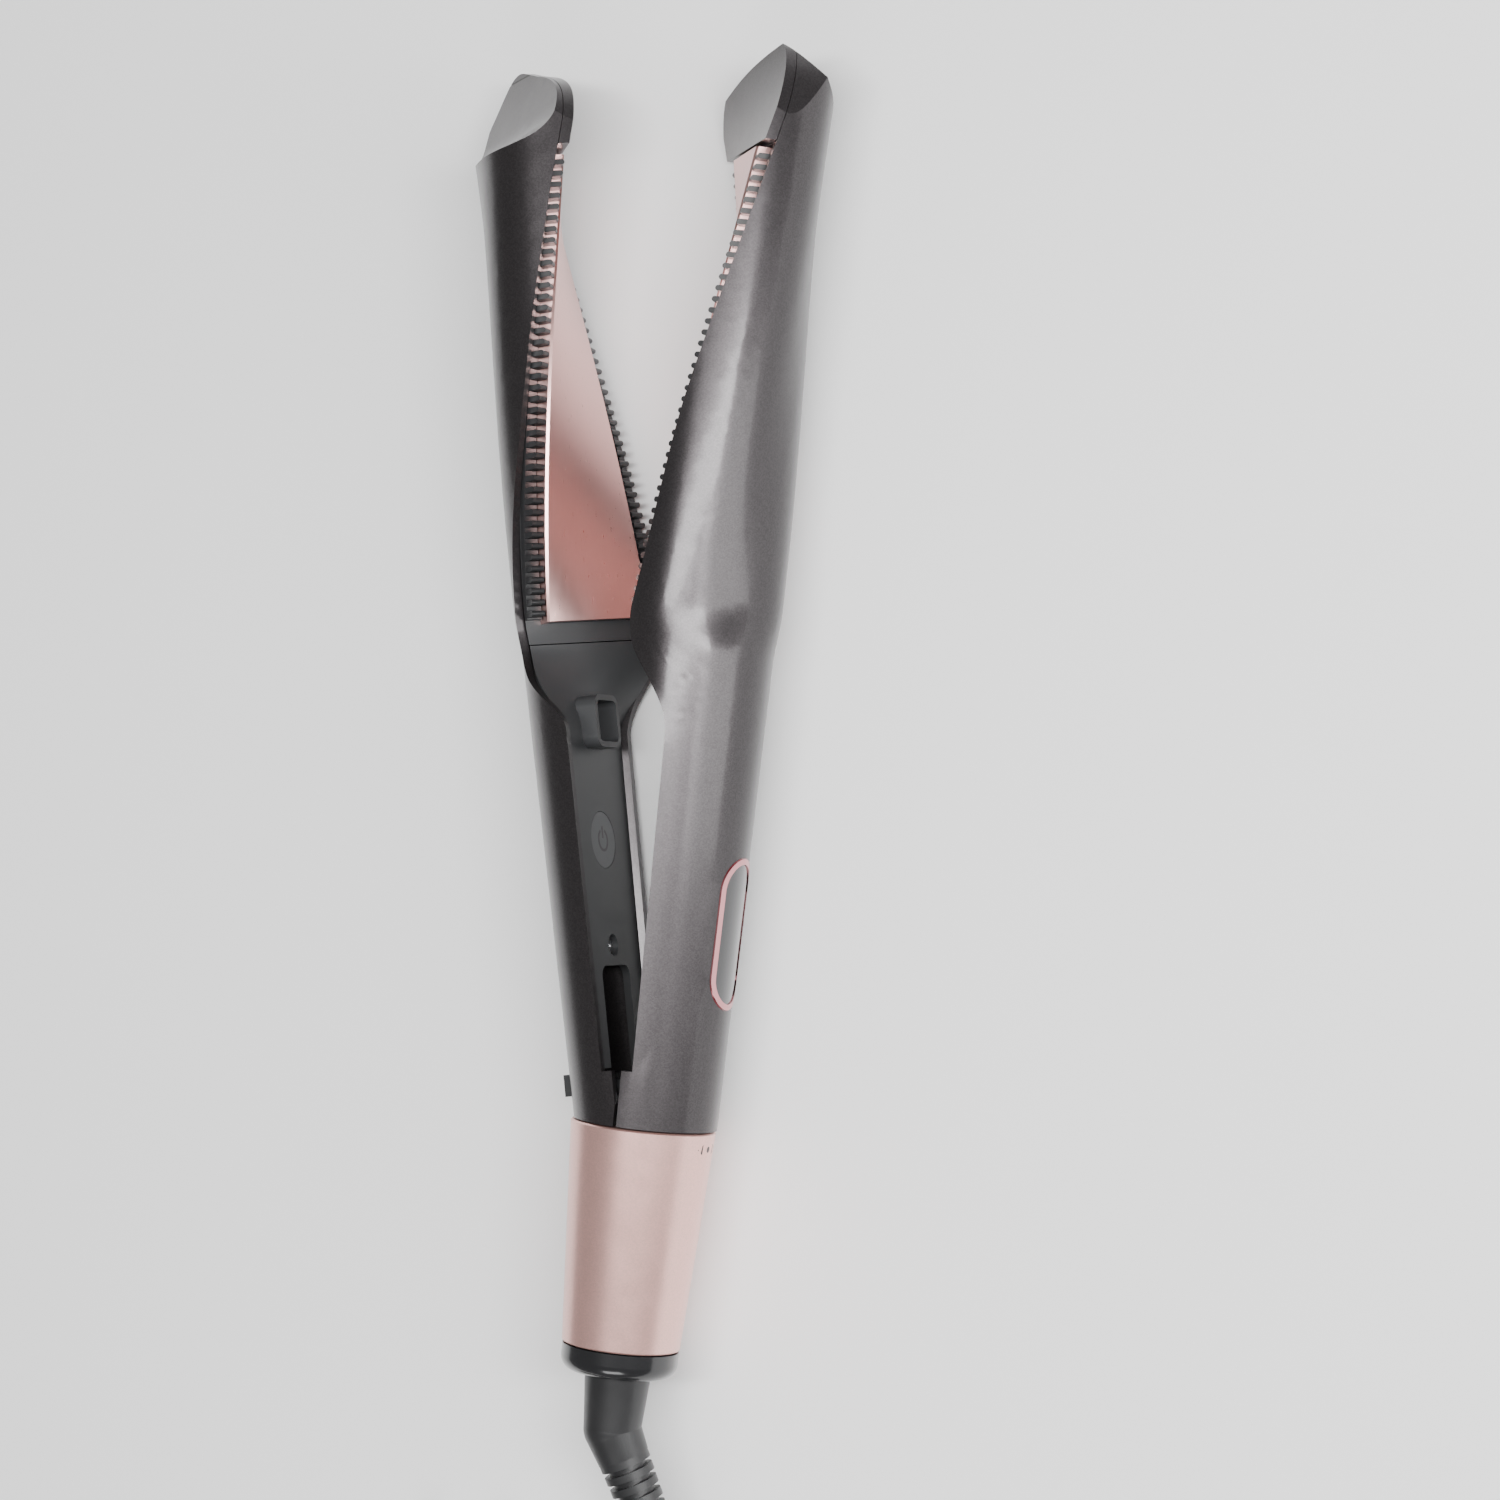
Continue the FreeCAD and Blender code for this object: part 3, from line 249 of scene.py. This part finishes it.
class Finish:
    """A material under construction."""

    def __init__(self, name):
        self.material = bpy.data.materials.new(name)
        self.material.use_nodes = True
        self.tree = self.material.node_tree
        self.tree.nodes.clear()
        self.place = self.add('ShaderNodeTexCoord').outputs['Object']

    def add(self, kind, settings=None, sockets=None):
        """Add a node: its settings first, then its sockets' values or links."""
        node = self.tree.nodes.new(kind)
        for key, value in (settings or {}).items():
            setattr(node, key, value)
        for key, value in (sockets or {}).items():
            if isinstance(value, Level):
                value = value.socket
            if isinstance(value, bpy.types.NodeSocket):
                self.tree.links.new(value, node.inputs[key])
            else:
                node.inputs[key].default_value = value
        return node

    def maths(self, operation, *values):
        node = self.add('ShaderNodeMath', {'operation': operation}, dict(enumerate(values)))
        return Level(self, node.outputs[0])

    def noise(self, size, detail=2.0, stretch=(1.0, 1.0, 1.0)):
        """Cloudy variation from 0 to 1; size is in metres and stretch lengthens it along an axis."""
        place = self.place
        if stretch != (1.0, 1.0, 1.0):
            scale = tuple(1.0 / k for k in stretch)
            place = self.add('ShaderNodeMapping', None, {'Vector': place, 'Scale': scale}).outputs[0]
        node = self.add('ShaderNodeTexNoise', None, {'Vector': place, 'Scale': 1.0 / size, 'Detail': detail})
        return Level(self, node.outputs['Fac'])

    def flakes(self, size):
        """A random level for each cell, as metal flake in paint."""
        cells = self.add('ShaderNodeTexVoronoi', None, {'Vector': self.place, 'Scale': 1.0 / size})
        parts = self.add('ShaderNodeSeparateColor', None, {'Color': cells.outputs['Color']})
        return Level(self, parts.outputs[0])

    def blend(self, level, low, high):
        """Colour that goes from low to high with a level."""
        node = self.add('ShaderNodeMix', {'data_type': 'RGBA'}, {0: level, 6: (*low, 1.0), 7: (*high, 1.0)})
        return node.outputs[2]

    def bump(self, level, strength, distance):
        node = self.add('ShaderNodeBump', None, {'Height': level, 'Strength': strength, 'Distance': distance})
        return node.outputs[0]

    def close(self, sockets):
        shader = self.add('ShaderNodeBsdfPrincipled', None, sockets)
        self.add('ShaderNodeOutputMaterial', None, {'Surface': shader.outputs[0]})
        return self.material


def shade(colour, factor):
    return tuple(min(1.0, c * factor) for c in colour)


def flake_paint(name, colour, metal, rough, flake, depth, coat):
    """Metal paint with flake, a faint cloudiness and a clear coat."""
    finish = Finish(name)
    grain = finish.flakes(flake)
    cloud = finish.noise(0.03)
    level = grain * 0.7 + cloud * 0.3
    return finish.close({
        'Base Color': finish.blend(level, shade(colour, 1.0 - depth), shade(colour, 1.0 + depth)),
        'Metallic': metal,
        'Roughness': rough + (finish.noise(0.004) - 0.5) * 0.06,
        'Coat Weight': coat,
        'Coat Roughness': 0.12,
        'Normal': finish.bump(grain, 0.12, 0.00002),
    })


def moulded_plastic(name, colour, rough, grain=0.00035, height=0.00003, coat=0.0):
    """Moulded plastic with a spark-eroded grain."""
    finish = Finish(name)
    skin = finish.noise(grain, 3.0)
    cloud = finish.noise(0.02)
    return finish.close({
        'Base Color': finish.blend(cloud, shade(colour, 0.85), shade(colour, 1.15)),
        'Roughness': rough + (cloud - 0.5) * 0.1,
        'Coat Weight': coat,
        'Coat Roughness': 0.05,
        'Normal': finish.bump(skin, 0.25, height),
    })


def drawn_metal(name, colour, rough, stretch, depth=0.12, size=0.0004):
    """Metal with fine drawn lines along one axis."""
    finish = Finish(name)
    lines = finish.noise(size, 2.0, stretch)
    cloud = finish.noise(0.015)
    return finish.close({
        'Base Color': finish.blend(lines * 0.6 + cloud * 0.4, shade(colour, 1.0 - depth),
                                   shade(colour, 1.0 + depth)),
        'Metallic': 1.0,
        'Roughness': rough + (lines - 0.5) * 0.12,
        'Normal': finish.bump(lines, 0.08, 0.00002),
    })


def polished_metal(name, colour, rough):
    finish = Finish(name)
    cloud = finish.noise(0.006)
    return finish.close({
        'Base Color': finish.blend(cloud, shade(colour, 0.94), shade(colour, 1.06)),
        'Metallic': 1.0,
        'Roughness': rough + cloud * 0.05,
    })


def flat_ink(name, colour, rough):
    finish = Finish(name)
    cloud = finish.noise(0.001)
    return finish.close({
        'Base Color': finish.blend(cloud, shade(colour, 0.9), shade(colour, 1.1)),
        'Roughness': rough,
    })


def coat_nodes(material, *names):
    """Give CAD nodes a finish."""
    for name in names:
        mesh = frame["nodes"][name].data
        mesh.materials.clear()
        mesh.materials.append(material)


# ---- sizes and colours ----

class ShellPaint(PropertyGroup):
    colour: FloatVectorProperty(
        name="Paint", description="Colour of the metal paint on both arms", subtype='COLOR',
        default=(0.050, 0.045, 0.047), min=0.0, max=1.0)
    rough: FloatProperty(name="Roughness", description="Roughness of the paint", default=0.31,
                         min=0.0, max=1.0, subtype='FACTOR')
    flake: FloatProperty(name="Flake", description="Size of the metal flake", default=0.00028, min=0.00005,
                         max=0.002, unit='LENGTH', precision=5)
    depth: FloatProperty(name="Sparkle", description="How far the flake varies in brightness", default=0.22,
                         min=0.0, max=1.0, subtype='FACTOR')


class TrimColours(PropertyGroup):
    plate: FloatVectorProperty(name="Plates", description="Colour of the coated plates", subtype='COLOR',
                               default=(0.80, 0.50, 0.47), min=0.0, max=1.0)
    dial: FloatVectorProperty(name="Dial", description="Colour of the tail dial", subtype='COLOR',
                              default=(0.84, 0.50, 0.45), min=0.0, max=1.0)
    bezel: FloatVectorProperty(name="Bezel", description="Colour of the display's bright rim", subtype='COLOR',
                               default=(0.66, 0.30, 0.32), min=0.0, max=1.0)
    plastic: FloatVectorProperty(name="Plastic", description="Colour of the covers and combs", subtype='COLOR',
                                 default=(0.036, 0.037, 0.039), min=0.0, max=1.0)
    marks: FloatVectorProperty(name="Marks", description="Colour of the printed marks", subtype='COLOR',
                               default=(0.030, 0.016, 0.014), min=0.0, max=1.0)


class CordSizes(PropertyGroup):
    diameter: FloatProperty(name="Thickness", description="Outer diameter of the cord", default=0.006,
                            min=0.003, max=0.012, unit='LENGTH')
    length: FloatProperty(name="Length", description="Length of the cord from the strain relief to the plug",
                          default=1.8, min=0.2, max=5.0, unit='LENGTH')
    steps: IntProperty(name="Points a turn", description="Control points in each turn of the coil", default=16,
                       min=12, max=48)
    colour: FloatVectorProperty(name="Cord", description="Colour of the cord's jacket", subtype='COLOR',
                                default=(0.018, 0.018, 0.019), min=0.0, max=1.0)


class StageSetup(PropertyGroup):
    floor: FloatVectorProperty(name="Floor", description="Colour of the floor", subtype='COLOR',
                               default=(0.95, 0.95, 0.95), min=0.0, max=1.0)
    lens: FloatProperty(name="Lens", description="Focal length of the camera, in millimetres", default=88.8,
                        min=20.0, max=300.0)
    distance: FloatProperty(name="Distance", description="From the camera to the iron", default=0.832, min=0.2,
                            max=5.0, unit='LENGTH')
    tilt: FloatProperty(name="Tilt", description="Height of the camera above the table, as an angle",
                        default=math.radians(68.0), min=0.0, max=math.radians(90.0), subtype='ANGLE')
    lean: FloatProperty(name="Lean", description="Lean of the display arm in the picture",
                        default=math.radians(5.9), subtype='ANGLE')
    key: FloatProperty(name="Key light", description="Power of the large soft light, in watts", default=19.0,
                       min=0.0, max=200.0)


class FlatIronPiece:
    """Shared by the operators."""
    bl_options = {'REGISTER', 'UNDO'}


class FLATIRON_OT_shells(FlatIronPiece, Operator):
    """Paint both outer shells and their tips"""
    bl_idname = "flatiron.shells"
    bl_label = "Shells"

    def execute(self, context):
        look = context.scene.flatiron_shell
        paint = flake_paint("gunmetal paint", tuple(look.colour), 0.80, look.rough, look.flake, look.depth,
                            0.25)
        coat_nodes(paint, "front_shell", "rear_shell", "front_tip_cap", "rear_tip_cap")
        return {'FINISHED'}


class FLATIRON_OT_plates(FlatIronPiece, Operator):
    """Coat the two twisted plates"""
    bl_idname = "flatiron.plates"
    bl_label = "Plates"

    def execute(self, context):
        colour = tuple(context.scene.flatiron_trim.plate)
        coat = drawn_metal("plate coat", colour, 0.30, (1.0, 30.0, 1.0), 0.05)
        coat_nodes(coat, "front_plate", "rear_plate")
        return {'FINISHED'}


class FLATIRON_OT_covers(FlatIronPiece, Operator):
    """Give the inner covers, combs and lock slider their black plastic"""
    bl_idname = "flatiron.covers"
    bl_label = "Covers and combs"

    def execute(self, context):
        colour = tuple(context.scene.flatiron_trim.plastic)
        satin = moulded_plastic("satin black plastic", colour, 0.42)
        coat_nodes(satin, "front_inner_cover", "rear_inner_cover", "front_carrier", "rear_carrier")
        comb = moulded_plastic("comb plastic", shade(colour, 0.55), 0.38, 0.0005)
        coat_nodes(comb, "front_comb_upper", "front_comb_lower", "rear_comb_upper", "rear_comb_lower",
                   "lock_slider")
        return {'FINISHED'}


class FLATIRON_OT_display(FlatIronPiece, Operator):
    """Finish the display's rim and lens, and add the dark red edge round it"""
    bl_idname = "flatiron.display"
    bl_label = "Display"

    def execute(self, context):
        trim = context.scene.flatiron_trim
        coat_nodes(polished_metal("tinted chrome", tuple(trim.bezel), 0.10), "display_bezel")
        lens = moulded_plastic("display lens", (0.010, 0.010, 0.012), 0.06, 0.004, 0.000002, 0.8)
        coat_nodes(lens, "display_lens")
        coat_nodes(moulded_plastic("display module", (0.05, 0.05, 0.055), 0.4), "display_module")
        low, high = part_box("display_bezel")
        middle = 0.5 * (low.y + high.y) - ZERO.y
        length, width = (high.y - low.y) / MM, (high.z - low.z) / MM
        outer, inner = stadium_row(width + 0.5, length + 0.5), stadium_row(width - 0.15, length - 0.15)

        def place(across, along, height):
            return cone_spot(GRIP_CONE, across, middle / MM + along, height)

        mesh = slab_mesh("display_edge", [(inner, outer, True)], place, -0.3, 0.12)
        edge = add_object("display_edge", mesh, "handle")
        red = moulded_plastic("dark red edge", (0.11, 0.012, 0.018), 0.25, 0.0005, 0.00001, 0.4)
        mesh.materials.append(red)
        edge["note"] = "thin edge between the rim and the shell"
        return {'FINISHED'}


class FLATIRON_OT_power_button(FlatIronPiece, Operator):
    """Finish the power button and add its printed sign"""
    bl_idname = "flatiron.power_button"
    bl_label = "Power button"

    def execute(self, context):
        colour = tuple(context.scene.flatiron_trim.plastic)
        coat_nodes(moulded_plastic("button plastic", shade(colour, 2.0), 0.40), "power_button")
        station, face, line = 121.0, 4.55, 0.62
        half, low, high = 0.5 * line, 0.4, 3.1
        rows = ring_rows(2.35, line, 118.0, 422.0, 40)      # open at the top, where the bar stands
        bar = ([(-half, low), (-half, high)], [(half, low), (half, high)])

        def place(across, along, height):
            return rear_spot(across, face - height, station + along)

        mesh = slab_mesh("power_sign", [(*rows, False), (*bar, False)], place, -0.02, 0.025)
        sign = add_object("power_sign", mesh, "power_button")
        mesh.materials.append(flat_ink("button ink", (0.006, 0.006, 0.006), 0.3))
        sign["note"] = "generic on-off sign"
        return {'FINISHED'}


class FLATIRON_OT_dial(FlatIronPiece, Operator):
    """Paint the tail dial and print its turn marks"""
    bl_idname = "flatiron.dial"
    bl_label = "Dial"

    def execute(self, context):
        trim = context.scene.flatiron_trim
        paint = flake_paint("rose gold paint", tuple(trim.dial), 0.85, 0.33, 0.0003, 0.08, 0.2)
        coat_nodes(paint, "dial")
        station = 52.6
        sides = 12
        turns = [k * math.pi / 6 for k in range(sides)]
        inner, outer = ([(radius * math.cos(t), radius * math.sin(t)) for t in turns]
                        for radius in (0.35, 0.72))
        dot, centre = (inner, outer), ([(0.0, 0.0)] * sides, inner)
        arrows = []
        for side in (-1, 1):
            arrows.append(([(side * 2.6, -1.15), (side * 4.5, 0.0)], [(side * 2.6, 1.15), (side * 4.5, 0.0)]))

        def place(across, along, height):
            return cone_spot(DIAL_CONE, across, station + along, height)

        outlines = [(*dot, True), (*centre, True)] + [(*arrow, False) for arrow in arrows]
        mesh = slab_mesh("dial_marks", outlines, place, -0.03, 0.03)
        marks = add_object("dial_marks", mesh, "dial")
        mesh.materials.append(flat_ink("mark ink", tuple(trim.marks), 0.45))
        marks["note"] = "turn either way"
        return {'FINISHED'}


class FLATIRON_OT_hinge(FlatIronPiece, Operator):
    """Finish the hinge, screws, tail core and end cap"""
    bl_idname = "flatiron.hinge"
    bl_label = "Hinge and tail"

    def execute(self, context):
        steel = drawn_metal("turned steel", (0.55, 0.55, 0.56), 0.30, (1.0, 1.0, 12.0))
        coat_nodes(steel, "hinge_pin", "hinge_spring", "front_screw", "rear_screw")
        core = moulded_plastic("core plastic", (0.030, 0.030, 0.032), 0.5)
        coat_nodes(core, "tail_core", "rear_hinge_block", "lock_plate", "dial_cam", "dial_switch",
                   "power_switch")
        cap = moulded_plastic("gloss black plastic", (0.008, 0.008, 0.009), 0.22, 0.0006, 0.00001, 0.5)
        coat_nodes(cap, "end_cap")
        return {'FINISHED'}


class FLATIRON_OT_electrics(FlatIronPiece, Operator):
    """Finish the heaters, fuses, leads and boards inside"""
    bl_idname = "flatiron.electrics"
    bl_label = "Electrics"

    def execute(self, context):
        coat_nodes(moulded_plastic("heater ceramic", (0.78, 0.75, 0.68), 0.7), "front_heater", "rear_heater")
        coat_nodes(drawn_metal("fuse can", (0.6, 0.6, 0.58), 0.35, (1.0, 8.0, 1.0)),
                   "front_thermal_fuse", "rear_thermal_fuse")
        coat_nodes(moulded_plastic("silicone sleeve", (0.45, 0.06, 0.04), 0.5),
                   "front_heater_leads", "rear_heater_leads")
        coat_nodes(moulded_plastic("board green", (0.02, 0.12, 0.05), 0.3, 0.001, 0.00002, 0.3),
                   "control_board", "switch_board")
        return {'FINISHED'}


def rubber(name, colour, rough):
    """Soft jacket with a fine extruded grain and slight bloom."""
    finish = Finish(name)
    skin = finish.noise(0.0005, 3.0)
    bloom = finish.noise(0.008)
    return finish.close({
        'Base Color': finish.blend(bloom, shade(colour, 0.8), shade(colour, 1.3)),
        'Roughness': rough + (bloom - 0.5) * 0.15,
        'Normal': finish.bump(skin, 0.3, 0.00004),
    })


def coil_route(steps):
    """Control points of the wound cord: columns outward from the middle, layers up from the table."""
    slots = [(0, 0, 1.0), (1, 0, 1.0), (2, 0, 1.0), (2, 1, 1.0), (2, 2, 0.3), (1, 2, 0.23),
             (1, 1, 1.0), (0, 1, 1.0), (0, 2, 1.0)]
    ends, total = [], 0.0
    for column, layer, turns in slots:
        ends.append((total, total + turns, COIL_COLUMNS[column], layer * COIL_PITCH))
        total += turns
    stretch = 1.0 / math.cos(math.pi / steps)
    points, count = [], int(round(total * steps))
    for i in range(count + 1):
        turn = total * i / count
        radius, height = ends[-1][2:]
        for k, (low, high, wide, tall) in enumerate(ends):
            if low <= turn <= high:
                radius, height = wide, tall
                ahead = (turn - (high - 0.1)) / 0.1
                if ahead > 0.0 and k + 1 < len(ends):
                    ease = ahead * ahead * (3.0 - 2.0 * ahead)
                    radius += (ends[k + 1][2] - wide) * ease
                    height += (ends[k + 1][3] - tall) * ease
                break
        angle = -2.0 * math.pi * turn
        points.append((COIL_CENTRE[0] + radius * stretch * math.cos(angle),
                       COIL_CENTRE[1] + radius * stretch * math.sin(angle), COIL_REST + height))
    return points


class FLATIRON_OT_cord(FlatIronPiece, Operator):
    """Lay the cord from the strain relief to the coil and on to the plug"""
    bl_idname = "flatiron.cord"
    bl_label = "Cord"

    def execute(self, context):
        sizes = context.scene.flatiron_cord
        drop = -AXIS_HEIGHT / MM
        lead = [(17.258, -49.031, -6.973), (23.151, -61.505, -9.354), (28.0, -78.5, drop + 7.4),
                (32.0, -97.5, drop + 5.0), (34.7, -117.0, drop + 4.3), (36.0, -136.0, drop + COIL_REST)]
        wound = [(x, y, drop + z) for x, y, z in coil_route(sizes.steps)]
        tail = [(-42.2, -135.2, drop + 14.0), (-41.5, -123.0, drop + 6.85), (-41.5, -110.6, drop + 6.85)]
        path = spline_points([spot(*point) for point in lead + wound + tail], 6)
        mesh = tube_mesh("power_cord", path, 0.5 * sizes.diameter)
        cord = add_object("power_cord", mesh, "handle")
        mesh.materials.append(rubber("cord jacket", tuple(sizes.colour), 0.5))
        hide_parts("cord_lead", "cord_coil", "cord_end")
        sleeve = rubber("moulded sleeve", shade(tuple(sizes.colour), 0.9), 0.38)
        coat_nodes(sleeve, "swivel_neck", "strain_relief")
        return {'FINISHED'}


class FLATIRON_OT_plug(FlatIronPiece, Operator):
    """Finish the plug, its pins and the strap round the coil"""
    bl_idname = "flatiron.plug"
    bl_label = "Plug and strap"

    def execute(self, context):
        coat_nodes(moulded_plastic("plug plastic", (0.014, 0.014, 0.015), 0.36, 0.0006), "plug_body")
        coat_nodes(drawn_metal("plated brass", (0.70, 0.66, 0.55), 0.22, (1.0, 10.0, 1.0)), "plug_pins")
        coat_nodes(rubber("strap web", (0.022, 0.022, 0.024), 0.75), "cord_tie")
        return {'FINISHED'}


class FLATIRON_OT_stage(FlatIronPiece, Operator):
    """Set up the floor, the lights and the camera"""
    bl_idname = "flatiron.stage"
    bl_label = "Stage"

    def execute(self, context):
        setup = context.scene.flatiron_stage
        corners = [(x * FLOOR_HALF, y * FLOOR_HALF, FLOOR_DEPTH)
                   for x, y in ((-1, -1), (1, -1), (1, 1), (-1, 1))]
        mesh = mesh_from("floor", corners, [(0, 1, 2, 3)])
        floor = bpy.data.objects.new("floor", mesh)
        context.scene.collection.objects.link(floor)
        finish = Finish("floor paper")
        tone = finish.noise(0.4)
        colour = tuple(setup.floor)
        mesh.materials.append(finish.close({
            'Base Color': finish.blend(tone, shade(colour, 0.99), shade(colour, 1.01)), 'Roughness': 0.9}))

        world = bpy.data.worlds.new("studio")
        world.use_nodes = True
        background = world.node_tree.nodes['Background']
        background.inputs['Color'].default_value = (1.0, 1.0, 1.0, 1.0)
        background.inputs['Strength'].default_value = WORLD_STRENGTH
        context.scene.world = world
        middle = spot(0.0, LAMP_STATION, 0.0)
        for name, offset, width, height, share in LAMPS:
            light = bpy.data.lights.new(name, 'AREA')
            light.shape = 'RECTANGLE'
            light.size, light.size_y = width, height
            light.energy = share * setup.key
            lamp = bpy.data.objects.new(name, light)
            lamp.location = middle + Vector(offset)
            lamp.rotation_euler = (-Vector(offset)).to_track_quat('-Z', 'Y').to_euler()
            context.scene.collection.objects.link(lamp)

        toward = Vector((math.cos(setup.tilt), 0.0, math.sin(setup.tilt)))
        level = Vector((math.sin(setup.tilt), 0.0, -math.cos(setup.tilt)))
        along = Vector((0.0, 1.0, 0.0))
        right = level * math.cos(setup.lean) + along * math.sin(setup.lean)
        up = along * math.cos(setup.lean) - level * math.sin(setup.lean)
        target = spot(0.0, 0.0, 0.0) + right * AIM_RIGHT + up * AIM_UP
        data = bpy.data.cameras.new("camera")
        data.lens, data.sensor_width = setup.lens, SENSOR_WIDTH
        camera = bpy.data.objects.new("camera", data)
        turn = Matrix((right, up, toward)).transposed()
        camera.matrix_world = Matrix.Translation(target + toward * setup.distance) @ turn.to_4x4()
        context.scene.collection.objects.link(camera)
        context.scene.camera = camera
        return {'FINISHED'}


class FLATIRON_PT_panel(Panel):
    """Settings and pieces of the flat iron"""
    bl_label = "Flat Iron"
    bl_idname = "FLATIRON_PT_panel"
    bl_space_type = 'VIEW_3D'
    bl_region_type = 'UI'
    bl_category = "Flat Iron"

    def draw(self, context):
        layout = self.layout
        for name, title in (("flatiron_shell", "Shells"), ("flatiron_trim", "Trim"), ("flatiron_cord", "Cord"),
                            ("flatiron_stage", "Stage")):
            box = layout.box()
            box.label(text=title)
            group = getattr(context.scene, name)
            for key in group.__annotations__:
                box.prop(group, key)
        for operator in PIECES:
            layout.operator(operator.bl_idname)


PIECES = (
    FLATIRON_OT_stage,
    FLATIRON_OT_cord,
    FLATIRON_OT_shells,
    FLATIRON_OT_plates,
    FLATIRON_OT_covers,
    FLATIRON_OT_display,
    FLATIRON_OT_power_button,
    FLATIRON_OT_dial,
    FLATIRON_OT_hinge,
    FLATIRON_OT_electrics,
    FLATIRON_OT_plug,
)
SETTINGS = (ShellPaint, TrimColours, CordSizes, StageSetup)


def register():
    for item in SETTINGS + PIECES + (FLATIRON_PT_panel,):
        bpy.utils.register_class(item)
    bpy.types.Scene.flatiron_shell = PointerProperty(type=ShellPaint)
    bpy.types.Scene.flatiron_trim = PointerProperty(type=TrimColours)
    bpy.types.Scene.flatiron_cord = PointerProperty(type=CordSizes)
    bpy.types.Scene.flatiron_stage = PointerProperty(type=StageSetup)


def unregister():
    for name in ("flatiron_shell", "flatiron_trim", "flatiron_cord", "flatiron_stage"):
        delattr(bpy.types.Scene, name)
    for item in reversed(SETTINGS + PIECES + (FLATIRON_PT_panel,)):
        bpy.utils.unregister_class(item)


def main():
    register()
    for name in ("stage", "cord", "shells", "plates", "covers", "display", "power_button", "dial", "hinge",
                 "electrics", "plug"):
        getattr(bpy.ops.flatiron, name)()


if __name__ == "__main__":
    main()
